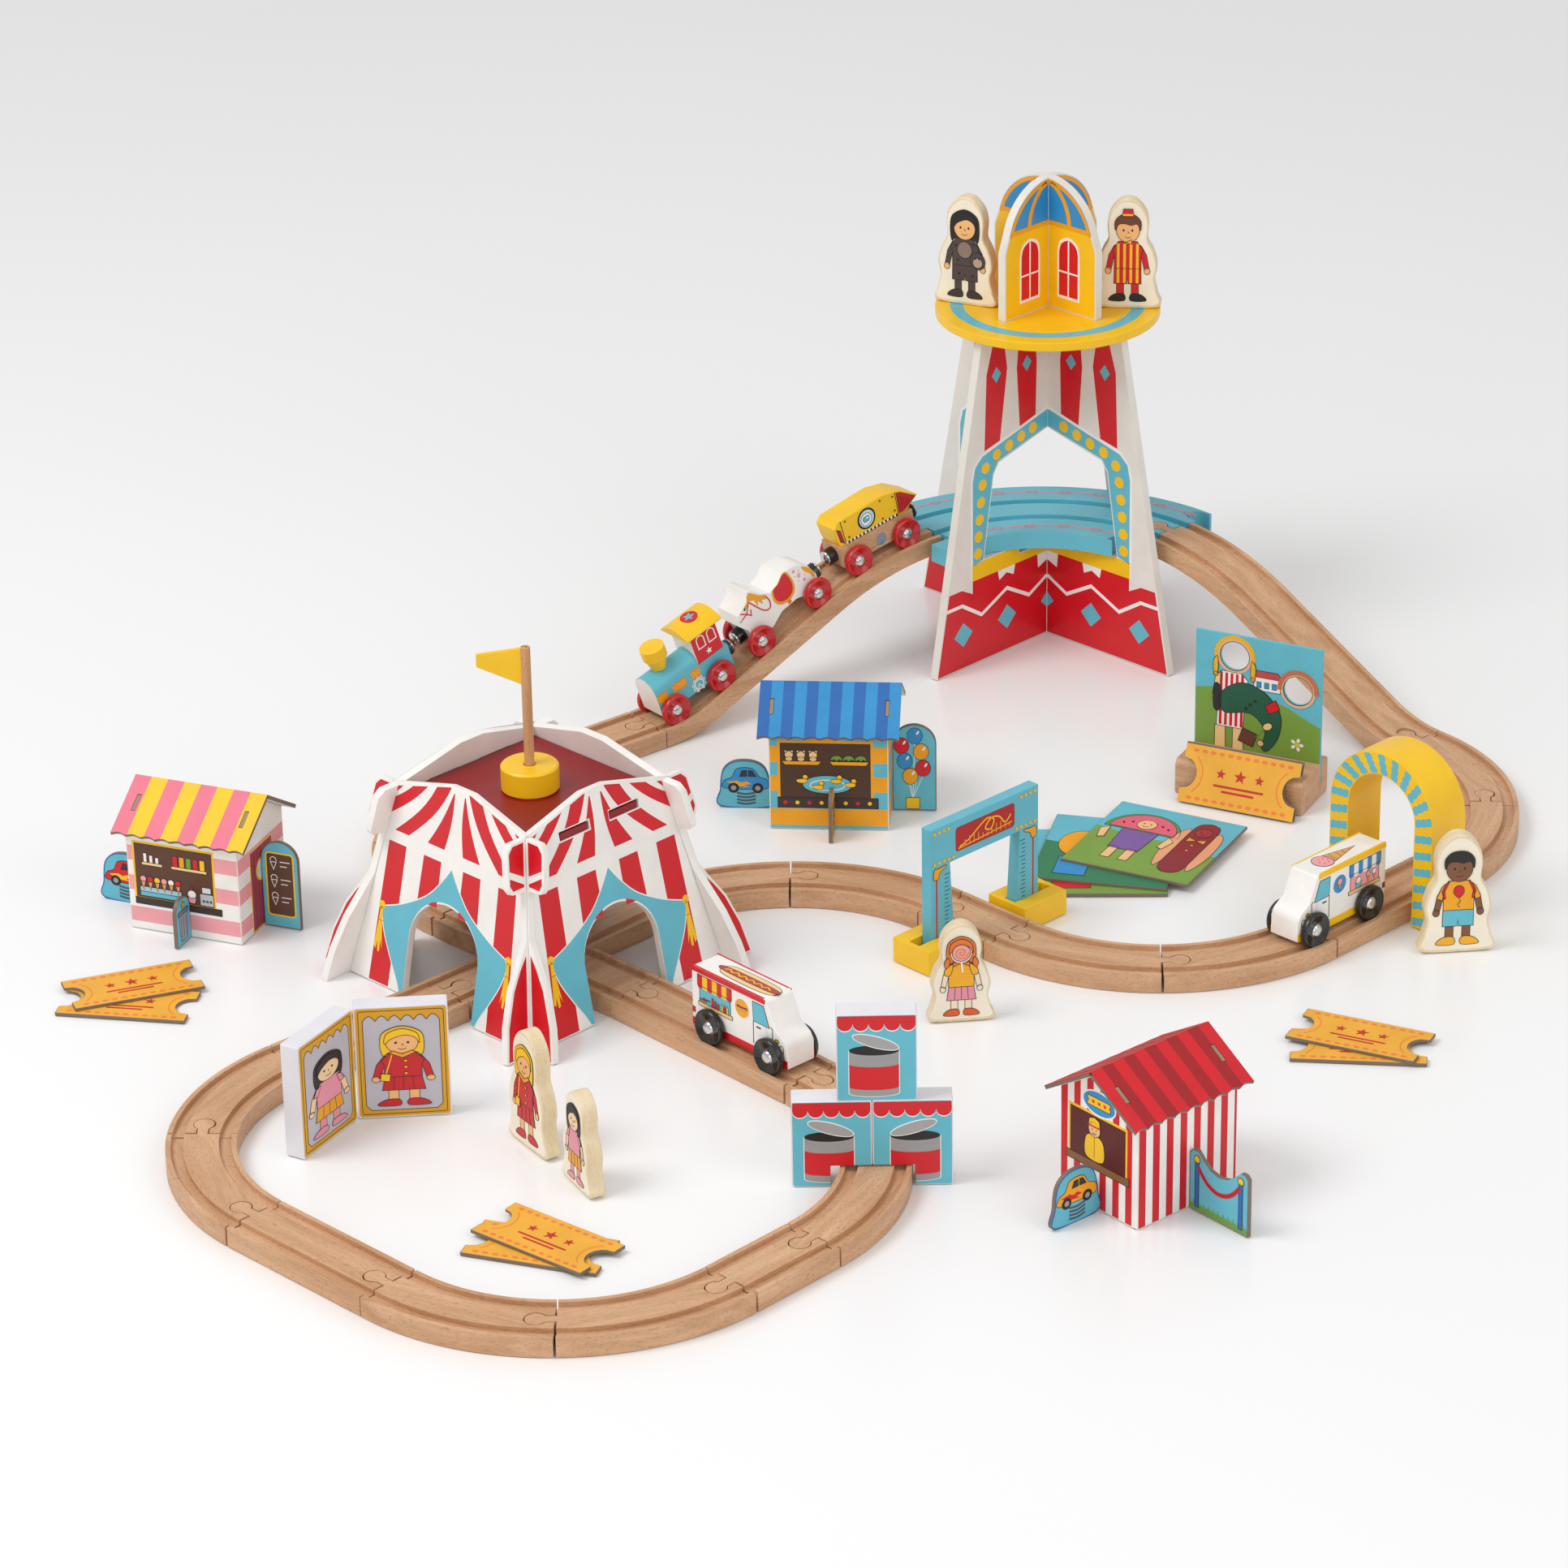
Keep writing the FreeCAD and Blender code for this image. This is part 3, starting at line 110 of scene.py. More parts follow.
def noise(tree, coords, scale, detail=3.0, rough=0.5):
    node = add(tree, "ShaderNodeTexNoise")
    node.inputs["Scale"].default_value = scale
    node.inputs["Detail"].default_value = detail
    node.inputs["Roughness"].default_value = rough
    tree.links.new(coords, node.inputs["Vector"])
    return node.outputs["Fac"]


def remap(tree, value, low, high, to_low, to_high):
    node = add(tree, "ShaderNodeMapRange")
    for key, number in zip(("From Min", "From Max", "To Min", "To Max"), (low, high, to_low, to_high)):
        node.inputs[key].default_value = number
    tree.links.new(value, node.inputs["Value"])
    return node.outputs["Result"]


def mix(tree, factor, first, second, blend="MIX"):
    """Mix two colours (hex codes, linear colours or sockets) by a socket or a number."""
    node = add(tree, "ShaderNodeMix", data_type="RGBA", blend_type=blend)
    for socket, value in ((node.inputs[0], factor), (node.inputs[6], first), (node.inputs[7], second)):
        if isinstance(value, bpy.types.NodeSocket):
            tree.links.new(value, socket)
        else:
            socket.default_value = value
    return node.outputs[2]


def bump(tree, shader, height, strength, distance):
    node = add(tree, "ShaderNodeBump")
    node.inputs["Strength"].default_value = strength
    node.inputs["Distance"].default_value = distance
    tree.links.new(height, node.inputs["Height"])
    tree.links.new(node.outputs["Normal"], shader.inputs["Normal"])


def shade(color, amount):
    return (color[0] * amount, color[1] * amount, color[2] * amount, 1.0)


PAINTS = {}


def paint(code, kind="print"):
    """Printed or sprayed colour: small tone drift, orange-peel bump and uneven gloss."""
    key = "%s_%s" % (kind, code)
    if key in PAINTS:
        return PAINTS[key]
    rough, peel, drift = {
        "print": (0.42, 0.05, 0.05), "spray": (0.34, 0.12, 0.05), "card": (0.50, 0.08, 0.07),
        "gloss": (0.22, 0.04, 0.04),
    }[kind]
    mat, tree, shader = new_material(key)
    coords = add(tree, "ShaderNodeTexCoord").outputs["Object"]
    base = linear(code)
    soft = remap(tree, noise(tree, coords, 55.0), 0.3, 0.7, 0.0, 1.0)
    fine = noise(tree, coords, 1500.0, 2.0)
    tone = mix(tree, soft, shade(base, 1.0 - drift), shade(base, 1.0 + drift * 0.6))
    color = mix(tree, remap(tree, fine, 0.35, 0.7, 0.0, 0.10), tone, shade(base, 0.72))
    tree.links.new(color, shader.inputs["Base Color"])
    tree.links.new(remap(tree, soft, 0.0, 1.0, rough - 0.05, rough + 0.08), shader.inputs["Roughness"])
    bump(tree, shader, fine, peel, 0.0004)
    PAINTS[key] = mat
    return mat


def wood(angle, tone="beech", tilt=0.0):
    """Wood with its grain along the heading angle, in degrees."""
    angle = round(angle / 3.0) * 3.0 % 180.0
    key = "%s_%d_%d" % (tone, angle, tilt)
    if key in PAINTS:
        return PAINTS[key]
    light, dark, fleck = {
        "beech": ("DDB18A", "BF8F66", "85563A"), "pale": ("F1E1C2", "E3CCA2", "CDAE7E"),
        "dowel": ("D9A878", "BD8655", "8A5A36"),
    }[tone]
    mat, tree, shader = new_material(key)
    coords = add(tree, "ShaderNodeTexCoord").outputs["Object"]
    turn = add(tree, "ShaderNodeMapping")
    turn.vector_type = "TEXTURE"
    turn.inputs["Rotation"].default_value = (0.0, math.radians(tilt), math.radians(angle))
    tree.links.new(coords, turn.inputs["Vector"])

    def stretched(along, across):
        node = add(tree, "ShaderNodeMapping")
        node.inputs["Scale"].default_value = (along, across, across)
        tree.links.new(turn.outputs["Vector"], node.inputs["Vector"])
        return node.outputs["Vector"]

    band = noise(tree, stretched(9.0, 130.0), 1.0, 4.0, 0.6)
    line = noise(tree, stretched(45.0, 900.0), 1.0, 3.0, 0.55)
    dash = noise(tree, stretched(260.0, 2100.0), 1.0, 1.0, 0.4)
    board = noise(tree, coords, 4.5, 0.0)
    color = mix(tree, remap(tree, band, 0.32, 0.68, 0.0, 1.0), linear(dark), linear(light))
    color = mix(tree, remap(tree, line, 0.4, 0.75, 0.0, 0.28), color, shade(linear(dark), 0.75))
    color = mix(tree, remap(tree, dash, 0.60, 0.70, 0.0, 0.55), color, linear(fleck))
    color = mix(tree, remap(tree, board, 0.3, 0.7, 0.0, 0.22), color, shade(linear(light), 0.82))
    tree.links.new(color, shader.inputs["Base Color"])
    tree.links.new(remap(tree, line, 0.3, 0.7, 0.42, 0.60), shader.inputs["Roughness"])
    bump(tree, shader, line, 0.25, 0.0003)
    PAINTS[key] = mat
    return mat


def metal(name, code, rough):
    if name in PAINTS:
        return PAINTS[name]
    mat, tree, shader = new_material(name)
    coords = add(tree, "ShaderNodeTexCoord").outputs["Object"]
    scratch = noise(tree, coords, 900.0, 4.0)
    base = linear(code)
    tree.links.new(mix(tree, scratch, shade(base, 0.85), base), shader.inputs["Base Color"])
    tree.links.new(remap(tree, scratch, 0.3, 0.7, rough, rough + 0.12), shader.inputs["Roughness"])
    shader.inputs["Metallic"].default_value = 1.0
    PAINTS[name] = mat
    return mat


def plastic(code):
    key = "plastic_" + code
    if key in PAINTS:
        return PAINTS[key]
    mat, tree, shader = new_material(key)
    coords = add(tree, "ShaderNodeTexCoord").outputs["Object"]
    base = linear(code)
    wear = noise(tree, coords, 260.0, 5.0)
    tree.links.new(mix(tree, wear, shade(base, 0.9), shade(base, 1.15)), shader.inputs["Base Color"])
    tree.links.new(remap(tree, wear, 0.3, 0.7, 0.14, 0.30), shader.inputs["Roughness"])
    shader.inputs["Coat Weight"].default_value = 0.3
    bump(tree, shader, noise(tree, coords, 1200.0), 0.06, 0.0004)
    PAINTS[key] = mat
    return mat


# ------------------------------------------------------------ local frames
def place(x=0.0, y=0.0, z=0.0, yaw=0.0, pitch=0.0, roll=0.0):
    """Millimetre placement; yaw, pitch and roll turn about Z, Y and X."""
    turn = Matrix.Rotation(math.radians(yaw), 4, "Z") @ Matrix.Rotation(math.radians(pitch), 4, "Y")
    return Matrix.Translation((x, y, z)) @ turn @ Matrix.Rotation(math.radians(roll), 4, "X")


UPRIGHT = place(roll=90)


def face_front(base, y=0.0):
    """Drawing plane on a face that looks along the base's -Y; u runs along +X, v along +Z."""
    return base @ place(0, y, 0) @ UPRIGHT


def face_back(base, y=0.0):
    return base @ place(0, y, 0, yaw=180) @ UPRIGHT


def face_right(base, x=0.0):
    return base @ place(x, 0, 0, yaw=90) @ UPRIGHT


def islands(node_name):
    """The separate solids of a CAD node: (vertices in mm, polygon indices) each."""
    mesh = frame["nodes"][node_name].data
    home = {}
    ids = []
    for vertex in mesh.vertices:
        key = tuple(round(c * 1e5) for c in vertex.co)
        ids.append(home.setdefault(key, len(home)))
    parent = list(range(len(home)))

    def root(k):
        while parent[k] != k:
            parent[k] = parent[parent[k]]
            k = parent[k]
        return k

    for poly in mesh.polygons:
        first = root(ids[poly.vertices[0]])
        for index in poly.vertices[1:]:
            parent[root(ids[index])] = first
    groups = {}
    for poly in mesh.polygons:
        points, polys = groups.setdefault(root(ids[poly.vertices[0]]), ([], []))
        points.extend(mesh.vertices[k].co / MM for k in poly.vertices)
        polys.append(poly.index)
    return sorted(groups.values(), key=lambda g: (round(sum(p.x for p in g[0]) / len(g[0]), 1)))


def corner_frame(points, yaw):
    """Placement at the lowest corner of the points in a frame turned by yaw, and their size."""
    turn = place(yaw=yaw)
    flat = [turn.inverted() @ p for p in points]
    low = Vector([min(p[k] for p in flat) for k in range(3)])
    high = Vector([max(p[k] for p in flat) for k in range(3)])
    return turn @ Matrix.Translation(low), high - low


# ------------------------------------------------------------- flat drawing
def circle(x, y, r, count=32, start=0.0):
    return ellipse(x, y, r, r, 0.0, count, start)


def ellipse(x, y, rx, ry, turn=0.0, count=32, start=0.0):
    c, s = math.cos(math.radians(turn)), math.sin(math.radians(turn))
    out = []
    for k in range(count):
        a = start + 2 * math.pi * k / count
        p, q = rx * math.cos(a), ry * math.sin(a)
        out.append((x + c * p - s * q, y + s * p + c * q))
    return out


def rect(x0, y0, x1, y1):
    return [(x0, y0), (x1, y0), (x1, y1), (x0, y1)]


def soft_rect(x0, y0, x1, y1, r, count=5):
    out = []
    for cx, cy, first in ((x1 - r, y0 + r, -90), (x1 - r, y1 - r, 0), (x0 + r, y1 - r, 90),
                          (x0 + r, y0 + r, 180)):
        out += arc(cx, cy, r, first, first + 90, count)
    return out


def arc(x, y, r, first, last, count=12):
    return [(x + r * math.cos(math.radians(first + (last - first) * k / count)),
             y + r * math.sin(math.radians(first + (last - first) * k / count)))
            for k in range(count + 1)]


def arc_flat(x, y, rx, ry, first, last, count=16):
    """Part of an upright ellipse between two angles."""
    out = []
    for k in range(count + 1):
        t = math.radians(first + (last - first) * k / count)
        out.append((x + rx * math.cos(t), y + ry * math.sin(t)))
    return out


def star(x, y, r, points=5, inner=0.42):
    return [(x + (r if k % 2 == 0 else r * inner) * math.sin(math.pi * k / points),
             y + (r if k % 2 == 0 else r * inner) * math.cos(math.pi * k / points))
            for k in range(2 * points)]


def smooth(points, closed=True, steps=5):
    """Catmull-Rom curve through the points."""
    n = len(points)
    out = []
    for k in range(n if closed else n - 1):
        if closed:
            p = [points[(k + j) % n] for j in (-1, 0, 1, 2)]
        else:
            p = [points[min(max(k + j, 0), n - 1)] for j in (-1, 0, 1, 2)]
        for step in range(steps):
            t = step / steps
            out.append(tuple(
                0.5 * (2 * p[1][a] + (p[2][a] - p[0][a]) * t
                       + (2 * p[0][a] - 5 * p[1][a] + 4 * p[2][a] - p[3][a]) * t * t
                       + (3 * p[1][a] - p[0][a] - 3 * p[2][a] + p[3][a]) * t ** 3)
                for a in (0, 1)))
    if not closed:
        out.append(tuple(points[-1]))
    return out


def mirror(points):
    return [(-x, y) for x, y in reversed(points)]


def clip(points, convex):
    """The part of a polygon inside a convex counter-clockwise one."""
    out = list(points)
    for k in range(len(convex)):
        (ax, ay), (bx, by) = convex[k], convex[(k + 1) % len(convex)]
        source, out = out, []
        for j in range(len(source)):
            p, q = source[j - 1], source[j]
            sp = (bx - ax) * (p[1] - ay) - (by - ay) * (p[0] - ax)
            sq = (bx - ax) * (q[1] - ay) - (by - ay) * (q[0] - ax)
            if (sp >= 0) != (sq >= 0):
                t = sp / (sp - sq)
                out.append((p[0] + t * (q[0] - p[0]), p[1] + t * (q[1] - p[1])))
            if sq >= 0:
                out.append(q)
        if not out:
            return []
    return out


class Art:
    """Thin layers of colour on flat faces, as closed prisms in one object."""

    def __init__(self, name, base, body="set", kind="print", slot=None):
        self.name = name
        self.base = base
        self.body = body
        self.kind = kind
        self.slot = slot
        self.bm = bmesh.new()
        self.mats = []

    def on(self, base):
        self.base = base
        return self

    def index(self, color):
        mat = color if isinstance(color, bpy.types.Material) else paint(color, self.kind)
        if mat not in self.mats:
            self.mats.append(mat)
        return self.mats.index(mat)

    def prism(self, rings, color, low, high):
        """Closed prism over rows of faces: rings is a list of point loops."""
        index = self.index(color)
        for loop in rings:
            area = sum(a[0] * b[1] - b[0] * a[1] for a, b in zip(loop, loop[1:] + loop[:1]))
            if abs(area) < 1e-4 or len(loop) < 3:
                continue
            if area < 0:
                loop = loop[::-1]
            top = [self.bm.verts.new((self.base @ Vector((x, y, high))) * MM) for x, y in loop]
            bottom = [self.bm.verts.new((self.base @ Vector((x, y, low))) * MM) for x, y in loop]
            count = len(loop)
            faces = [self.bm.faces.new(top), self.bm.faces.new(bottom[::-1])]
            for k in range(count):
                n = (k + 1) % count
                faces.append(self.bm.faces.new((bottom[k], bottom[n], top[n], top[k])))
            for f in faces:
                f.material_index = index

    def fill(self, points, color, layer=1):
        self.prism([[tuple(p) for p in points]], color, -0.2, 0.03 + 0.05 * layer)

    def fills(self, shapes, color, layer=1):
        for points in shapes:
            self.fill(points, color, layer)

    def line(self, points, width, color, layer=2, closed=False):
        """A stroke with mitred corners, as one closed ribbon."""
        n = len(points)
        left, right = [], []
        for k in range(n):
            before = points[k - 1] if closed or k else points[k]
            after = points[(k + 1) % n] if closed or k < n - 1 else points[k]
            d1 = Vector((points[k][0] - before[0], points[k][1] - before[1]))
            d2 = Vector((after[0] - points[k][0], after[1] - points[k][1]))
            d1 = d1.normalized() if d1.length > 1e-9 else d2.normalized()
            d2 = d2.normalized() if d2.length > 1e-9 else d1
            tangent = (d1 + d2).normalized() if (d1 + d2).length > 1e-6 else d1
            normal = Vector((-tangent.y, tangent.x))
            reach = width / 2 / max(0.5, normal.dot(Vector((-d1.y, d1.x))))
            left.append((points[k][0] + normal.x * reach, points[k][1] + normal.y * reach))
            right.append((points[k][0] - normal.x * reach, points[k][1] - normal.y * reach))
        index = self.index(color)
        low, high = -0.2, 0.03 + 0.05 * layer
        rows = [[self.bm.verts.new((self.base @ Vector((*p, h))) * MM) for p in side]
                for side, h in ((left, high), (right, high), (right, low), (left, low))]
        last = n if closed else n - 1
        faces = []
        for k in range(last):
            j = (k + 1) % n
            for a, b in ((0, 1), (1, 2), (2, 3), (3, 0)):
                faces.append(self.bm.faces.new((rows[a][k], rows[b][k], rows[b][j], rows[a][j])))
        if not closed:
            faces.append(self.bm.faces.new([rows[r][0] for r in (3, 2, 1, 0)]))
            faces.append(self.bm.faces.new([rows[r][-1] for r in (0, 1, 2, 3)]))
        for f in faces:
            f.material_index = index

    def shape(self, points, color, layer=1, edge=BLACK, width=0.35):
        """A filled shape with a thin outline."""
        self.fill(points, color, layer)
        self.line(points, width, edge, layer + 1, closed=True)

    def slab(self, points, thick, color, low=0.0):
        """A solid plate of the given thickness behind the drawing plane."""
        self.prism([[tuple(p) for p in points]], color, low - thick, low)

    def done(self, bevel=0.0):
        bmesh.ops.recalc_face_normals(self.bm, faces=self.bm.faces)
        mesh = bpy.data.meshes.new(self.name)
        self.bm.to_mesh(mesh)
        self.bm.free()
        for mat in self.mats:
            mesh.materials.append(mat)
        obj = bpy.data.objects.new(self.name, mesh)
        bpy.context.scene.collection.objects.link(obj)
        if bevel:
            round_edges(obj, bevel)
        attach(obj, self.body)
        return obj


def round_edges(obj, width, segments=2, angle=40):
    mod = obj.modifiers.new("edges", "BEVEL")
    mod.width = width * MM
    mod.segments = segments
    mod.limit_method = "ANGLE"
    mod.angle_limit = math.radians(angle)
    mod.harden_normals = False
    for poly in obj.data.polygons:
        poly.use_smooth = True
    auto = obj.modifiers.new("normals", "WEIGHTED_NORMAL")
    auto.keep_sharp = False
    auto.weight = 80


def dress(node_name, *mats, bevel=0.5, pick=None):
    """Give a CAD node its materials; pick chooses one for a polygon."""
    obj = frame["nodes"][node_name]
    obj.data.materials.clear()
    for mat in mats:
        obj.data.materials.append(mat)
    if pick:
        for poly in obj.data.polygons:
            poly.material_index = pick(poly)
    if bevel:
        merge = obj.modifiers.new("join", "WELD")
        merge.merge_threshold = 0.00001
        round_edges(obj, bevel)
    return obj


def dress_islands(node_name, choose, bevel=0.5):
    """Give each solid of a node its own material by number."""
    found = islands(node_name)
    mats = []
    slots = {}
    for k, (points, polys) in enumerate(found):
        mat = choose(k, points)
        if mat not in mats:
            mats.append(mat)
        for index in polys:
            slots[index] = mats.index(mat)
    return dress(node_name, *mats, bevel=bevel, pick=lambda poly: slots[poly.index])


def lathe(name, profile, base, color_rows, body, count=48):
    """A turned piece about the base's Z; profile is (radius, height) and color_rows the
    material of each span."""
    bm = bmesh.new()
    mats = []
    rings = []
    for r, h in profile:
        ring = []
        for k in range(count):
            a = 2 * math.pi * k / count
            ring.append(bm.verts.new((base @ Vector((r * math.cos(a), r * math.sin(a), h))) * MM)
                        if r > 1e-6 or k == 0 else ring[0])
        rings.append(ring)
    for row, (low, high) in enumerate(zip(rings, rings[1:])):
        mat = color_rows[row]
        if mat not in mats:
            mats.append(mat)
        for k in range(count):
            n = (k + 1) % count
            quad = [low[k], low[n], high[n], high[k]]
            unique = []
            for v in quad:
                if v not in unique:
                    unique.append(v)
            if len(unique) > 2:
                f = bm.faces.new(unique)
                f.material_index = mats.index(mat)
                f.smooth = True
    bmesh.ops.recalc_face_normals(bm, faces=bm.faces)
    mesh = bpy.data.meshes.new(name)
    bm.to_mesh(mesh)
    bm.free()
    for mat in mats:
        mesh.materials.append(mat)
    obj = bpy.data.objects.new(name, mesh)
    bpy.context.scene.collection.objects.link(obj)
    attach(obj, body)
    return obj


# --------------------------------------------------------------- the track
STEEL = metal("chrome", "D8D8D8", 0.12)


def heading_of(points):
    """Heading of the longest direction of a piece seen from above."""
    n = len(points)
    cx = sum(p.x for p in points) / n
    cy = sum(p.y for p in points) / n
    xx = sum((p.x - cx) ** 2 for p in points)
    yy = sum((p.y - cy) ** 2 for p in points)
    xy = sum((p.x - cx) * (p.y - cy) for p in points)
    return math.degrees(0.5 * math.atan2(2 * xy, xx - yy))


for track in ("straight_tracks", "short_tracks", "front_loop_curves", "rear_loop_curves",
              "ramp_up", "ramp_down"):
    dress_islands(track, lambda k, points: wood(heading_of(points)), bevel=0.6)
dress("crossing_track", wood(45), bevel=0.6)
dress("bridge_deck", paint(SKY, "spray"), bevel=0.8)
JOINTS = {joint["name"]: joint for joint in frame["joints"]}


# --------------------------------------------------------------- the tower
TOWER_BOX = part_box("tower_platform")
TX = (TOWER_BOX[0][0] + TOWER_BOX[1][0]) / 2 / MM
TY = (TOWER_BOX[0][1] + TOWER_BOX[1][1]) / 2 / MM
# base coats; a node that gets its final coat further down keeps both passes of rounding
COATS = (
    ("tower_board_lower", "E7E2DA", "spray", 0.5), ("tower_board_upper", "E7E2DA", "spray", 0.5),
    ("tower_platform", YELLOW, "spray", 0.6), ("tent_slotted_walls", WHITE, "spray", 0.5),
    ("tent_plain_walls", WHITE, "spray", 0.5), ("tent_roof_board", DARK_RED, "spray", 0.6),
    ("tent_flag", ORANGE, "spray", 0.5), ("cone_kiosk_walls", PALE_PINK, "card", 0.25),
    ("duck_kiosk_walls", SKY, "card", 0.25), ("red_kiosk_walls", WHITE, "card", 0.25),
    ("hotdog_truck_body", RED, "spray", 1.0), ("icecream_truck_body", SKY, "spray", 1.0),
    ("engine_body", SKY, "spray", 0.8), ("engine_cab", RED, "spray", 0.6),
    ("engine_roof", YELLOW, "spray", 0.8), ("engine_funnel", YELLOW, "spray", 0.8),
    ("rocket_hull", YELLOW, "spray", 0.8), ("can_blocks", "E3E1DE", "spray", 0.7),
    ("arch_tunnel", "E9C58F", "spray", 0.7), ("gauge_gantry", SKY, "spray", 0.6),
    ("gauge_feet", YELLOW, "spray", 0.8), ("picture_board", SKY, "card", 0.25),
    ("ticket_cards", ORANGE, "card", 0.25), ("picture_cards", SKY, "card", 0.25))
for node_name, color, kind, bevel in COATS:
    dress(node_name, paint(color, kind), bevel=bevel)
for node_name, timber, bevel in (
        ("tent_pole_base", (20, "dowel", 90), 1.2), ("tent_pole", (0, "dowel", 90), 0.4),
        ("horse_body", (0, "pale"), 0.8), ("rocket_chassis", (0,), 0.8),
        ("picture_stand", (-27,), 0.9)):
    dress(node_name, wood(*timber), bevel=bevel)
for node_name in ("engine_magnet", "horse_magnets", "rocket_magnets"):
    dress(node_name, STEEL, bevel=0.4)
dress_islands("mirror_blocks", lambda k, points: wood(90, "pale", 90), bevel=0.9)


# ------------------------------------------------------------------ wheels
def wheel_parts(label, axle, body):
    """Two red tyres with a groove ring and bright hub caps on a steel axle."""
    joint = JOINTS["%s_%s_spin" % (label, axle)]
    centre = Vector(joint["pos_m"]) / MM
    across = Vector(joint["axis"]).normalized()
    rest = Vector((0, 0, 1)) if abs(across.z) < 0.9 else Vector((1, 0, 0))
    side = across.cross(rest).normalized()
    turn = Matrix((side, rest, across)).transposed().to_4x4()
    low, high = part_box("%s_%s_wheels" % (label, axle))
    radius = (high[2] - low[2]) / 2 / MM
    tyre = plastic("1A1918" if "truck" in label else "C4121C")
    hub = STEEL
    for way in (-1, 1):
        # the profile runs from the wheel's outer middle to its inner side
        base = Matrix.Translation(centre) @ turn
        if way < 0:
            base = base @ Matrix.Rotation(math.pi, 4, "X")
        r = radius
        profile = [(0, 16.4), (0.22 * r, 16.4), (0.30 * r, 15.9), (0.34 * r, 15.2), (0.36 * r, 14.9),
                   (0.48 * r, 14.9), (0.50 * r, 15.3), (0.84 * r, 15.3), (0.86 * r, 15.75),
                   (0.93 * r, 15.75), (0.97 * r, 15.2), (r, 14.6), (r, 12.4), (0.95 * r, 11.4),
                   (0.5 * r, 11.2), (0, 11.2)]
        colors = [hub] * 4 + [tyre] * 11
        lathe("%s_%s_wheel_%s" % (label, axle, "left" if way > 0 else "right"), profile, base,
              colors, body)
    rod = lathe("%s_%s_rod" % (label, axle), [(0, -13), (1.5, -13), (1.5, 13), (0, 13)],
                Matrix.Translation(centre) @ turn, [STEEL] * 3, body, 24)
    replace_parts(rod, "%s_%s_wheels" % (label, axle))


for vehicle in ("hotdog_truck", "icecream_truck", "engine", "horse", "rocket"):
    for axle_name in ("front", "rear"):
        wheel_parts(vehicle, axle_name, "%s_%s_axle" % (vehicle, axle_name))


# ---------------------------------------------------------------- the tent
def cut_out(points, x0, y0, x1, y1):
    """A polygon without an upright rectangle, as up to four pieces."""
    far = 1000.0
    windows = [rect(-far, -far, x0, far), rect(x1, -far, far, far),
               rect(x0, -far, x1, y0), rect(x0, y1, x1, far)]
    return [p for p in (clip(points, w) for w in windows) if len(p) > 2]


PIVOT = Vector(JOINTS["pole_turn"]["pos_m"]) / MM
SLANT = 1.0201


def tent_run(z):
    return 79.55 - 0.2016 * z


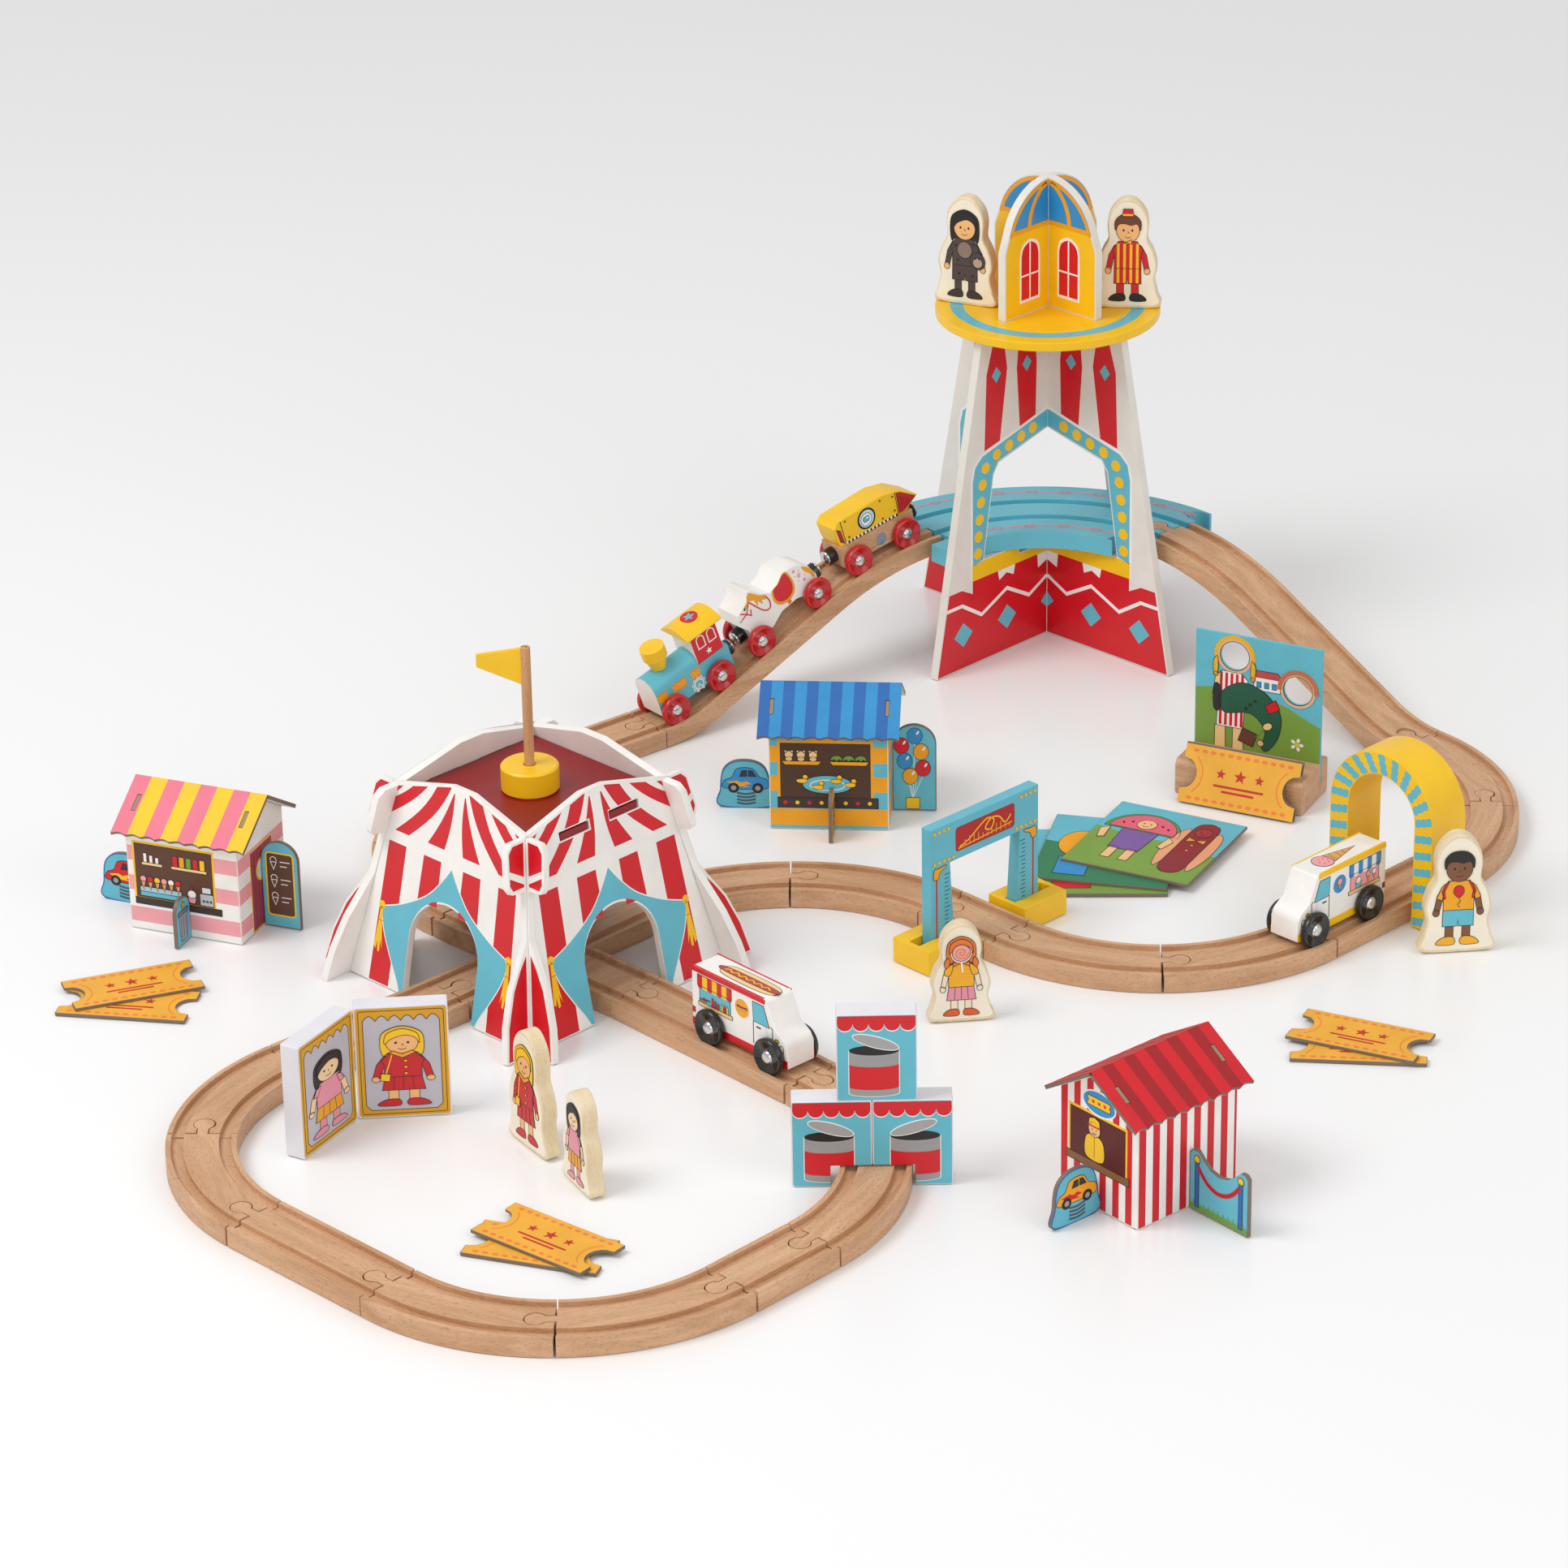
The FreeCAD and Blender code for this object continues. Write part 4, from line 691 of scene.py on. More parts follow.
def tent_art(name, yaw, slotted):
    base = place(PIVOT.x, PIVOT.y, 0, yaw=yaw) @ place(0, -79.55, 0, roll=-11.4)
    art = Art(name, face_front(base, -2.5), kind="spray")
    inside = [(-tent_run(0) + 2, 0.8), (tent_run(0) - 2, 0.8), (tent_run(123) - 2, 121.8),
              (9, 133.6), (-9, 133.6), (-tent_run(123) + 2, 121.8)]

    def lay(points, color, layer=1, bounded=True):
        for shape in (points, mirror(points)):
            if bounded:
                shape = clip(shape, inside)
            parts = [[(x, z * SLANT) for x, z in shape]]
            if slotted:
                for x0 in (-32.6, 7.4):
                    parts = [q for p in parts for q in cut_out(p, x0, 113.9, x0 + 25.2, 121.0)]
            for part in parts:
                if len(part) > 2:
                    art.fill(part, color, layer)

    def bowed(top, bottom, bend, steps=7):
        """A stripe between two edges that bow inward."""
        (a0, a1), (b0, b1) = top, bottom
        left = [(a0[0] + (b0[0] - a0[0]) * t - bend * math.sin(math.pi * t),
                 a0[1] + (b0[1] - a0[1]) * t) for t in (k / steps for k in range(steps + 1))]
        right = [(a1[0] + (b1[0] - a1[0]) * t - bend * math.sin(math.pi * t),
                  a1[1] + (b1[1] - a1[1]) * t) for t in (k / steps for k in range(steps + 1))]
        return list(zip(left[:-1], left[1:], right[1:], right[:-1]))

    lay([(9.5, 60), (26, 60), (24.5, 88), (9.5, 88)], RED)
    lay([(43, 0.8), (60, 0.8), (55, 88), (40, 88)], RED)
    for quad in bowed(((4.2, 131), (5.0, 131)), ((8, 96), (22.5, 96)), 1.6):
        lay(list(quad), RED)
    for quad in bowed(((7, 135), (17.7, 135)), ((39, 95.3), (51, 95.3)), 4.5):
        lay(list(quad), RED)
    for quad in bowed(((24.6, 132), (34, 132)), ((58.6, 103), (62, 110)), 3.2):
        lay(list(quad), RED)
    for quad in bowed(((43, 129), (58, 127)), ((55.0, 116.5), (57.5, 117)), 0.6, 3):
        lay(list(quad), RED)
    upper = smooth([(0, 86), (8.3, 74.7), (19.8, 63.5), (38.8, 53), (55, 47)], False)
    lower = smooth([(55, 47), (51, 33), (43.3, 18.8), (36, 7), (33, 0.8)], False)
    half = upper + lower[1:] + [(30.3, 0.8)] + arc(0, 35, 30.3, 0, 90, 10)
    whole = half + mirror(half)[1:-1]
    rim = upper + lower[1:]
    whole = [(x, z * SLANT) for x, z in whole]
    art.fill(whole, SKY, 3)
    for side in (rim, mirror(rim)):
        art.line([(x, z * SLANT) for x, z in side], 1.5, WHITE, 2)
    r = tent_run
    lay([(r(0) + 4.5, 1), (r(0) + 19.3, 1), (r(20) + 18.8, 20), (r(40) + 14.3, 39.5),
         (r(50) + 9, 50), (r(58) + 4.5, 57)], RED, 1, False)
    lay([(r(96) + 4.5, 96), (r(96) + 13, 96), (r(100) + 15.4, 99.5), (r(118) + 15.9, 117.6),
         (r(122) + 13, 121.2), (r(122) + 4.5, 121.2)], RED, 1, False)
    lay([(r(96) + 4.3, 97.6), (r(104) + 15.8, 104), (r(108) + 15.8, 108), (r(102) + 4.3, 101.6)],
        WHITE, 2, False)
    for way in (-1, 1):
        art.fill(circle(way * 55, 48 * SLANT, 2.6, 20), YELLOW, 4)
        art.fill([(way * (55 + a), z * SLANT) for a, z in (
            (-1.0, 47), (1.0, 47), (1.6, 38), (3.6, 22), (1.9, 20.5), (0.9, 26), (0.2, 19),
            (-1.4, 19.5), (-1.5, 27), (-3.4, 21.5), (-1.4, 38))], YELLOW, 4)
        art.line([(way * 55 - 2, 38.5 * SLANT), (way * 55 + 2, 38.5 * SLANT)], 0.7, "D08F10", 5)
    art.done()


for yaw, slotted in ((45, True), (225, True), (135, False), (315, False)):
    tent_art("tent_print_%d" % yaw, yaw, slotted)
dress("tent_pole_base", paint(YELLOW, "spray"), bevel=1.0)
dress("tent_flag", paint(YELLOW, "spray"), bevel=0.5)


# --------------------------------------------------------------- the tower
def tower_edge(z):
    return 112.0 - 0.1961 * z


def tower_art(name, yaw, way):
    base = place(TX, TY, 0, yaw=yaw)
    art = Art(name, face_front(base, -3.0) if way > 0 else face_back(base, 3.0), kind="spray")

    def lay(points, color, layer=1):
        for shape in (points, mirror(points)):
            art.fill(shape, color, layer)

    def dot(x, z, r, color, layer=3):
        for side in (-1, 1):
            art.fill(circle(side * x, z, r, 24), color, layer)

    a = 3.4
    lay([(a, 0.8), (tower_edge(0) - 1.2, 0.8), (tower_edge(57) - 1.4, 57), (87, 57), (76.6, 51.5),
         (76.6, 60.5), (a, 60.5)], RED)
    zig = [(a, 42.4), (21, 33.5), (43, 45.5), (68, 34), (87, 46), (102.2, 46)]
    for points in (zig, mirror(zig)):
        art.line(points, 2.5, WHITE, 2)
    for x, cut in ((0, True), (43, False), (86, False)):
        gem = [(x - 9, 24.7), (x, 16), (x + 9, 24.7), (x, 33.4)]
        lay(clip(gem, rect(a, 0, 200, 60)) if cut else gem, SKY, 2)
    lay([(a, 60.4), (13, 60.4), (12, 50.5), (a, 54)], WHITE, 2)
    lay([(35, 60.4), (52, 60.4), (50.5, 53.5), (43.5, 57), (36.5, 53.5)], WHITE, 2)
    lay([(a, 60.5), (77, 60.5), (77, 71.6), (66.6, 72.6), (31, 72.6), (31, 66.4), (a, 66.4)], YELLOW, 2)
    border = [(66.4, 73.6), (76.5, 71), (76.5, 131), (74, 141), (67, 147), (a, 162.4), (a, 150.6),
              (51.8, 139.6), (57.0, 132)]
    lay(border, SKY, 2)
    lay([(76.2, 61), (78.4, 61), (78.4, 131), (76.0, 141.6), (68.4, 149), (a, 164.8), (a, 162.6),
         (67, 147.2), (74.2, 141), (76.3, 131)], WHITE, 1)
    for x, z in ((71.6, 79), (71.0, 91), (70.0, 103), (68.6, 115), (67.0, 127), (64.0, 138.0),
                 (53.0, 144.6), (41.0, 147.6), (29.2, 150.6), (17.6, 153.4)):
        dot(x, z, 3.9, YELLOW)
    for stripe in ([(17, 229), (30.5, 229), (33.5, 200), (30.5, 158), (15, 162), (14, 200)],
                   [(47, 229), (55, 229), (63, 203), (65, 150.4), (50, 153.6), (43, 203)]):
        curve = stripe
        lay(curve, RED, 1)
    for x in (53.5, 23.7):
        lay([(x - 4.4, 201), (x, 195.4), (x + 4.4, 201), (x, 206.6)], SKY, 2)
    # the cupola above the platform
    lay([(a, 236.2), (43.9, 236.2), (43.9, 281.4), (39.8, 292.6), (a, 292.6)], YELLOW, 1)
    arch_top = [(30.8, 276), (28.6, 283.4), (21, 287), (13.4, 283.4), (11.2, 276)]
    lay([(11.2, 244)] + [(30.8, 244)] + smooth(arch_top, False, 4), WHITE, 2)
    inner = [(29.2, 276), (27.2, 281.8), (21, 285), (14.8, 281.8), (12.8, 276)]
    lay([(12.8, 246), (29.2, 246)] + smooth(inner, False, 4), RED, 3)
    lay([(20.4, 246), (21.6, 246), (21.6, 284.6), (20.4, 284.6)], WHITE, 4)
    lay([(12.8, 262), (29.2, 262), (29.2, 263.2), (12.8, 263.2)], WHITE, 4)
    radius = (40.5 ** 2 + 31.0 ** 2) / 62.0
    dome = [(40.5 * t, 325.0 - radius + math.sqrt(radius ** 2 - (40.5 * t) ** 2))
            for t in (k / 12 for k in range(13))]
    outer = [(x, z - 1.0) for x, z in dome if x > a]
    rim = [(a, outer[0][1] + 0.1)] + outer
    lay([(a, 293.6), (39.0, 293.6)] + outer[::-1] + [(a, outer[0][1] + 0.1)], BLUE, 1)
    for points in (rim, mirror(rim)):
        art.line([(x * 0.97, z - 1.4) for x, z in points], 2.6, ORANGE, 2)
    rib = [(21.6, 293.6), (20.2, 303), (16.0, 312), (9.5, 319), (4.6, 321.4)]
    for points in (smooth(rib, False), mirror(smooth(rib, False))):
        art.line(points, 3.2, ORANGE, 2)
    lay([(a, 292.4), (40.2, 292.4), (39.4, 295.6), (a, 295.6)], ORANGE, 3)
    art.done()


for yaw in (45, -45):
    for way in (1, -1):
        tower_art("tower_print_%s_%s" % ("right" if yaw < 0 else "left", "front" if way > 0 else "back"),
                  yaw, way)
ring = Art("platform_ring", place(TX, TY, TOWER_BOX[1][2] / MM), kind="spray")
ring.line(circle(0, 0, 60.3, 96), 8.6, SKY, 1, closed=True)
ring.done()

# the bridge deck
deck_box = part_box("bridge_deck")
deck = Art("bridge_lines", place(0, 0, deck_box[1][2] / MM), kind="spray")


DECK_X = TX - 7.92
DECK_Y = TY - 107.66
DECK_FROM = 40.58


def deck_arc(radius):
    return [(DECK_X + radius * math.cos(math.radians(t)), DECK_Y + radius * math.sin(math.radians(t)))
            for t in (DECK_FROM + 90.0 * k / 48 for k in range(49))]


for radius in (86.2, 145.4):
    path = deck_arc(radius)[1:-1]
    deck.line(path, 1.6, PINK, 1)
    count = int(radius * math.pi / 2 / 22)
    for k in range(count):
        t = DECK_FROM + 90.0 * (k + 0.5) / count
        x = DECK_X + radius * math.cos(math.radians(t))
        y = DECK_Y + radius * math.sin(math.radians(t))
        deck.line(ellipse(x, y, 3.6, 2.2, t + 90, 20), 1.3, PINK, 2, closed=True)
        deck.fill(ellipse(x, y, 3.2, 1.8, t + 90, 20), SKY, 2)
deck.done()


# ------------------------------------------------------------- the vehicles
def vehicle_frame(label, axle_height):
    """Frame under a vehicle's middle: x forward, y across, z up from the rail."""
    front = Vector(JOINTS[label + "_front_spin"]["pos_m"]) / MM
    rear = Vector(JOINTS[label + "_rear_spin"]["pos_m"]) / MM
    ahead = (front - rear).normalized()
    across = Vector(JOINTS[label + "_front_spin"]["axis"]).normalized()
    above = ahead.cross(across).normalized()
    if above.z < 0:
        above, across = -above, -across
    origin = (front + rear) / 2 - above * axle_height
    return Matrix.Translation(origin) @ Matrix((ahead, across, above)).transposed().to_4x4()


def truck_side(art, colors):
    """The print of a step-van's side: x forward, z up."""
    band, stripe_a, stripe_b, hatch, badge, window = colors
    art.fill(rect(-43, 38.8, 19.4, 41.8), band, 2)
    art.fill([(-43, 3.8), (37.7, 3.8), (37.7, 8.8), (-43, 8.8)], band, 2)
    art.fill(rect(-36.5, 20.5, -10, 31), hatch, 2)
    for k in range(7):
        x = -38 + 29 * k / 7
        art.fill([(x, 31), (x + 29 / 7, 31), (x + 29 / 7, 38), (x, 38)],
                 stripe_a if k % 2 == 0 else stripe_b, 3)
        art.fill(arc(x + 29 / 14, 31.1, 29 / 14, 180, 360, 8), stripe_a if k % 2 == 0 else stripe_b, 3)
    art.line([(-38, 38), (-9, 38), (-9, 31), (-38, 31)], 0.35, BLACK, 4, closed=True)
    art.shape(rect(-37.5, 18.2, -8.5, 20.6), TAN, 3)
    art.line([(-36.5, 20.6), (-36.5, 31), (-10, 31), (-10, 20.6)], 0.4, BLACK, 3)
    art.shape(circle(0, 29.4, 6.2, 32), badge, 3, edge=WHITE, width=0.6)
    art.shape([(9, 37.5), (18.3, 37.5), (23, 25), (9.6, 25)], window, 3)
    art.line([(9.4, 25), (9.4, 10.6)], 0.45, BLACK, 3)
    art.line([(24, 26), (25.6, 25), (25.6, 15)], 0.45, BLACK, 3)
    art.fill(rect(12, 21.6, 15.6, 22.5), BLACK, 3)
    art.shape(ellipse(29.2, 19, 1.6, 1.0, 0, 16), ORANGE, 3)
    art.shape(ellipse(33.2, 14.6, 1.6, 2.6, 0, 20), "FFF6C8", 3)
    art.shape(rect(-42.6, 12.2, -40.6, 15.4), RED, 3)


def hotdog(art, x, z, length, layer=4):
    half = length / 2
    art.shape(smooth([(x - half, z - 0.1 * length), (x, z - 0.2 * length), (x + half, z - 0.1 * length),
                      (x + half * 0.96, z + 0.04 * length), (x, z), (x - half * 0.96, z + 0.04 * length)]),
              TAN, layer, width=0.25)
    art.shape(smooth([(x - half * 1.1, z + 0.03 * length), (x, z - 0.04 * length),
                      (x + half * 1.1, z + 0.03 * length), (x + half, z + 0.14 * length),
                      (x, z + 0.09 * length), (x - half, z + 0.14 * length)]), "B4442A",
              layer + 2, width=0.25)


def cone(art, x, z, size, scoop, layer=4):
    art.shape([(x - 0.28 * size, z), (x + 0.28 * size, z), (x, z - 0.75 * size)],
              WAFFLE, layer, width=0.25)
    art.shape(circle(x, z + 0.16 * size, 0.34 * size, 20), scoop, layer + 2, width=0.25)


def truck_prints(label, colors, goods, roof):
    base = vehicle_frame(label, 8.6)
    body = label
    art = Art(label + "_print", base, body, "spray")
    for way in (-1, 1):
        art.on(face_front(base, -10.5) if way < 0 else base @ place(0, 10.5, 0) @ UPRIGHT
               @ Matrix.Scale(-1, 4, (0, 0, 1)))
        truck_side(art, colors)
        goods(art)
    art.on(base @ place(0, 0, 42.0))
    roof(art)
    art.done()


def hotdog_goods(art):
    for x in (-33.5, -30.5):
        hotdog(art, x, 22.2 + (x + 33.5) * 0.35, 5.2)
    for k, color in enumerate((RED, RED, RED)):
        art.shape(rect(-26 + 2.4 * k, 20.8, -24.4 + 2.4 * k, 26.5 - k), color, 4, width=0.25)
    for k, color in enumerate((YELLOW, RED, YELLOW)):
        art.shape([(-17.8 + 2.2 * k, 20.8), (-16.2 + 2.2 * k, 20.8), (-16.2 + 2.2 * k, 24),
                   (-17 + 2.2 * k, 26), (-17.8 + 2.2 * k, 24)], color, 4, width=0.25)
    hotdog(art, 0, 29.6, 7.4)


def icecream_goods(art):
    cone(art, -32, 26, 5.6, WHITE)
    cone(art, -26.5, 26, 5.6, PALE_PINK)
    art.shape([(-20.5, 24.6), (-14.5, 24.6), (-15.6, 20.8), (-19.4, 20.8)], SKY, 4, width=0.25)
    art.shape(circle(-17.5, 25.6, 2.2, 16), CREAM, 5, width=0.25)
    cone(art, 0, 29.8, 6.6, PALE_PINK)


def hotdog_roof(art):
    art.fill(rect(-43, -10.2, 18.0, -9.0), RED, 1)
    art.fill(rect(-43, 9.0, 18.0, 10.2), RED, 1)
    art.shape(smooth([(-25, -4.6), (-4, -6.4), (17, -4.6), (17.4, 4.6), (-4, 6.4),
                      (-25, 4.6)]), "F3CF96", 2)
    art.shape(smooth([(-27.5, -1.9), (-4, -2.8), (17.8, -1.9), (17.8, 1.9), (-4, 2.8), (-27.5, 1.9)]),
              "B8402A", 4)
    art.line(smooth([(-25 + 3.2 * k, 0.9 if k % 2 else -0.9) for k in range(13)], False), 0.9, YELLOW, 6)


def icecream_roof(art):
    art.fill(rect(-43, -10.2, 18.0, -9.0), YELLOW, 1)
    art.fill(rect(-43, 9.0, 18.0, 10.2), YELLOW, 1)
    art.shape([(-26, 0), (-2, -5.2), (-2, 5.2)], WAFFLE, 2)
    for k in range(1, 5):
        art.line([(-26 + 5 * k, -1.05 * k), (-26 + 5 * k + 1.4, 1.05 * k)], 0.5, "A56B2C", 4)
    art.shape(circle(3.6, 0, 7.0, 28), PALE_PINK, 3)
    art.fills([circle(3 + 3.4 * math.cos(k), 3.2 * math.sin(k), 0.5, 8) for k in range(6)], RED, 5)


dress("hotdog_truck_body", paint(WHITE, "spray"), bevel=1.0)
dress("icecream_truck_body", paint(WHITE, "spray"), bevel=1.0)
truck_prints("hotdog_truck", (RED, RED, YELLOW, SKY, ORANGE, SKY), hotdog_goods, hotdog_roof)
truck_prints("icecream_truck", (YELLOW, BLUE, WHITE, PALE_PINK, BLUE, SKY), icecream_goods,
             icecream_roof)

ENGINE = vehicle_frame("engine", 7.9)
dress("engine_cab", paint(WHITE, "spray"), bevel=0.5)
dress("engine_magnet", plastic(INK), bevel=0.5)
dress("horse_magnets", plastic(INK), bevel=0.5)
dress("rocket_magnets", plastic(INK), bevel=0.5)
dress("horse_body", paint(WHITE, "spray"), bevel=0.9)
art = Art("engine_print", ENGINE, "set", "spray")
for way in (-1, 1):
    # both sides carry the print; the far one is mirrored so that it still faces forward
    flip = Matrix.Identity(4) if way < 0 else Matrix.Scale(-1, 4, (0, 0, 1))
    art.on(ENGINE @ place(0, way * 10.5, 0) @ UPRIGHT @ flip)
    for x0, x1 in ((19.5, 28.8), (3.5, 16.5), (-7.6, 0.5)):
        art.fill(rect(x0, 16.8, x1, 23.6), "F2A60E", 2)
        for z in (17.2, 23.2):
            art.fills([circle(x0 + 0.7 + 1.1 * k, z, 0.3, 8) for k in range(int((x1 - x0) / 1.1))], RED, 4)
    for x in (18, 2):
        art.fill(circle(x, 20.2, 2.9, 24), SKY, 4)
    art.line(arc(-4.0, 11.4, 3.4, -60, 240, 16), 0.7, WHITE, 3)
    art.line([(-4, 11.4), (-6.2, 7.6), (-1.8, 7.6)], 0.7, WHITE, 3, closed=True)
    for k in range(9):
        t = math.radians(-60 + 300 * k / 8)
        art.line(circle(-4.0 + 4.6 * math.cos(t), 11.4 + 4.6 * math.sin(t), 0.95, 12), 0.5, WHITE, 4, closed=True)
    art.fill(rect(-30.0, 24.3, -8.6, 46.2), RED, 2)
    for x in (-24.5, -15.5):
        art.line([(x - 3, 34), (x + 3, 34)] + arc(x, 40.2, 3, 0, 180, 10), 0.8, WHITE, 3, closed=True)
    art.fill(star(-19.4, 28.8, 2.7), WHITE, 3)
art.on(face_right(ENGINE, 29.0))
art.fill(rect(-10.2, 7.3, 10.2, 24), WHITE, 1)
art.fill(arc(0, 24, 10.2, 0, 180, 24), WHITE, 1)
art.on(ENGINE @ place(-19.2, 0, 52.7))
art.prism([circle(0, 0, 6.0, 36)], RED, -1.4, 0.08)
art.prism([star(0, 0, 4.4, inner=0.45)], SKY, -0.6, 0.16)
art.done()
HORSE = vehicle_frame("horse", 7.9)
art = Art("horse_print", HORSE, "set", "spray")
for way in (-1, 1):
    flip = Matrix.Identity(4) if way < 0 else Matrix.Scale(-1, 4, (0, 0, 1))
    art.on(HORSE @ place(0, way * 10.5, 0) @ UPRIGHT @ flip)
    saddle = smooth([(3.0, 31.6), (4.4, 24), (1, 18.4), (-6, 16.4), (-12.5, 19.5), (-14.5, 27),
                     (-12.5, 36.4), (-8.8, 37.2), (-3, 33.4)])
    art.fill(saddle, AMBER, 2)
    art.fill([((x + 5.4) * 0.84 - 5.4, (z - 28.5) * 0.86 + 29.0) for x, z in saddle], RED, 3)
    art.fills([[(-7.6, 17), (-4.4, 17), (-4.8, 13.9), (-7.2, 13.9)]], AMBER, 2)
    art.line([(-7.4, 15.4), (-4.6, 15.4)], 0.7, RED, 4)
    art.fill(smooth([(19.6, 43.6), (17.6, 42.4), (12, 36), (7.8, 33), (9.6, 30.4), (12, 32), (12.6, 29),
                     (15, 33), (16.6, 30.6), (17.6, 36), (20.6, 38)]), AMBER, 2)
    art.fill(smooth([(20.6, 43.0), (23.2, 38.2), (26.2, 36.8), (27.0, 34.4), (23.4, 35.6), (20.4, 39)]),
             AMBER, 3)
    art.fill(smooth([(-24, 31.6), (-28.5, 27.4), (-31, 21), (-29.8, 17.6), (-27.6, 23), (-25, 26.6)]),
             AMBER, 2)
    art.line(smooth([(21.5, 37.5), (14, 24.5), (9, 22.4), (7.2, 27), (8.4, 32)], False), 0.9, RED, 4)
    art.line([(21.8, 37.8), (26.4, 31), (31.6, 29.6)], 0.8, RED, 4)
    art.line([(26.4, 31), (23.6, 27.6), (22.4, 32)], 0.8, RED, 4)
    art.line([(26.4, 31), (30.8, 34.6)], 0.8, RED, 4)
    art.fill(ellipse(26.4, 35.2, 0.7, 1.0, 30, 12), BLACK, 5)
    art.line([(31.6, 28.8), (33.6, 29.6)], 0.3, BLACK, 5)
    for x, z, r in ((-20, 27, 1.9), (-17.4, 32.5, 1.2), (-22.6, 21.5, 1.1)):
        curl = [(x + r * t / 9 * math.cos(t), z + r * t / 9 * math.sin(t))
                for t in (0.6 * k for k in range(1, 16))]
        art.line(curl, 0.4, PINK, 4)
    art.fills([circle(x, z, 0.35, 8) for x, z in ((-18, 24), (-21, 30.5), (-24, 25), (-16.6, 28.6))], RED, 4)
art.done()
ROCKET = vehicle_frame("rocket", 7.9)
art = Art("rocket_print", ROCKET, "set", "spray")
for way in (-1, 1):
    flip = Matrix.Identity(4) if way < 0 else Matrix.Scale(-1, 4, (0, 0, 1))
    art.on(ROCKET @ place(0, way * 9.5, 0) @ UPRIGHT @ flip)
    art.shape([(26.5, 22.6), (29.6, 25.0), (31.4, 35.0), (28.4, 33.0)], RED, 2)
    for k in range(6):
        art.line([(27.0 + 0.35 * k, 24.2 + 1.7 * k), (30.1 + 0.22 * k, 25.6 + 1.6 * k)], 0.4, BLACK, 4)
    art.shape([(-21, 22.4), (-25.0, 22.4), (-35.8, 28.4), (-24.5, 36.6), (-21, 37.6)], RED, 2)
    for k in range(5):
        art.line([(-22 - 2 * k, 24.5), (-22 - 2 * k, 35 - 1.4 * k)], 0.4, BLACK, 4)
    art.line([(-20, 22), (-20, 38.6)], 0.5, BLACK, 3)
    art.line([(25.5, 22), (27.4, 39.4)], 0.5, BLACK, 3)
    for k in range(14):
        art.fill(rect(-19.4 + 3.2 * k, 21.4, -17.8 + 3.2 * k, 23.0), BLACK, 3)
        art.fill(rect(-17.8 + 3.2 * k, 21.4, -16.2 + 3.2 * k, 23.0), WHITE, 3)
    art.fill(circle(6, 31.6, 7.6, 32), BLACK, 3)
    art.fill(circle(6, 31.6, 6.2, 32), "BFE3EC", 5)
    art.shape(circle(6.4, 31.2, 4.6, 24), WHITE, 6)
    art.shape(soft_rect(3.8, 29.6, 9.0, 33.4, 1.6), SKY, 8)
    art.fill(ellipse(5.4, 32.2, 1.4, 0.5, 30, 12), WHITE, 10)
    for x, z in ((23.5, 37.8), (22.3, 25.4), (-17.6, 26), (-17.6, 36.6), (-7, 38.6), (-7, 25)):
        art.shape(circle(x, z, 0.6, 10), OCHRE, 3)
    art.on(ROCKET @ place(0, way * 10.5, 0) @ UPRIGHT @ flip)
    curl = [(-2 + 0.24 * t * math.cos(t), 12.6 + 0.24 * t * math.sin(t))
            for t in (0.5 * k for k in range(2, 38))]
    art.line(curl, 0.8, BLUE, 2)
art.done()
for label, reach in (("engine_magnet", -1), ("horse_magnets", 0), ("rocket_magnets", 0)):
    for points, polys in islands(label):
        mid = sum(points, Vector()) / len(points)
        frame_of = {"engine_magnet": ENGINE, "horse_magnets": HORSE, "rocket_magnets": ROCKET}[label]
        way = 1 if (frame_of.inverted() @ mid).x > 0 else -1
        ahead = (frame_of.to_3x3() @ Vector((way, 0, 0))).normalized()
        far = max((p - mid).dot(ahead) for p in points)
        side = frame_of.to_3x3() @ Vector((0, 1, 0))
        turn = Matrix((side, ahead.cross(side), ahead)).transposed().to_4x4()
        lathe("%s_disc_%s" % (label, "front" if way > 0 else "rear"),
              [(0, far - 1.4), (4.9, far - 1.4), (4.9, far + 0.1), (4.2, far + 0.5), (0, far + 0.62)],
              Matrix.Translation(mid) @ turn, [STEEL] * 4, "set", 32)


# --------------------------------------------------------------- the kiosks
FLIP = Matrix.Scale(-1, 4, (0, 0, 1))
ROOF_PITCH = 31.866
ROOF_SLOPE = 43.57


def both_faces(art, base, thick, draw):
    for way in (-1, 1):
        turn = Matrix.Identity(4) if way < 0 else FLIP
        art.on(base @ place(0, way * thick / 2, 0) @ UPRIGHT @ turn)
        draw(art)


def plate(art, base, thick, outline, edge=CARD_EDGE):
    """A board standing on the base's X, centred on its Y."""
    art.on(base @ place(0, -thick / 2, 0) @ UPRIGHT)
    art.slab(outline, thick, edge)


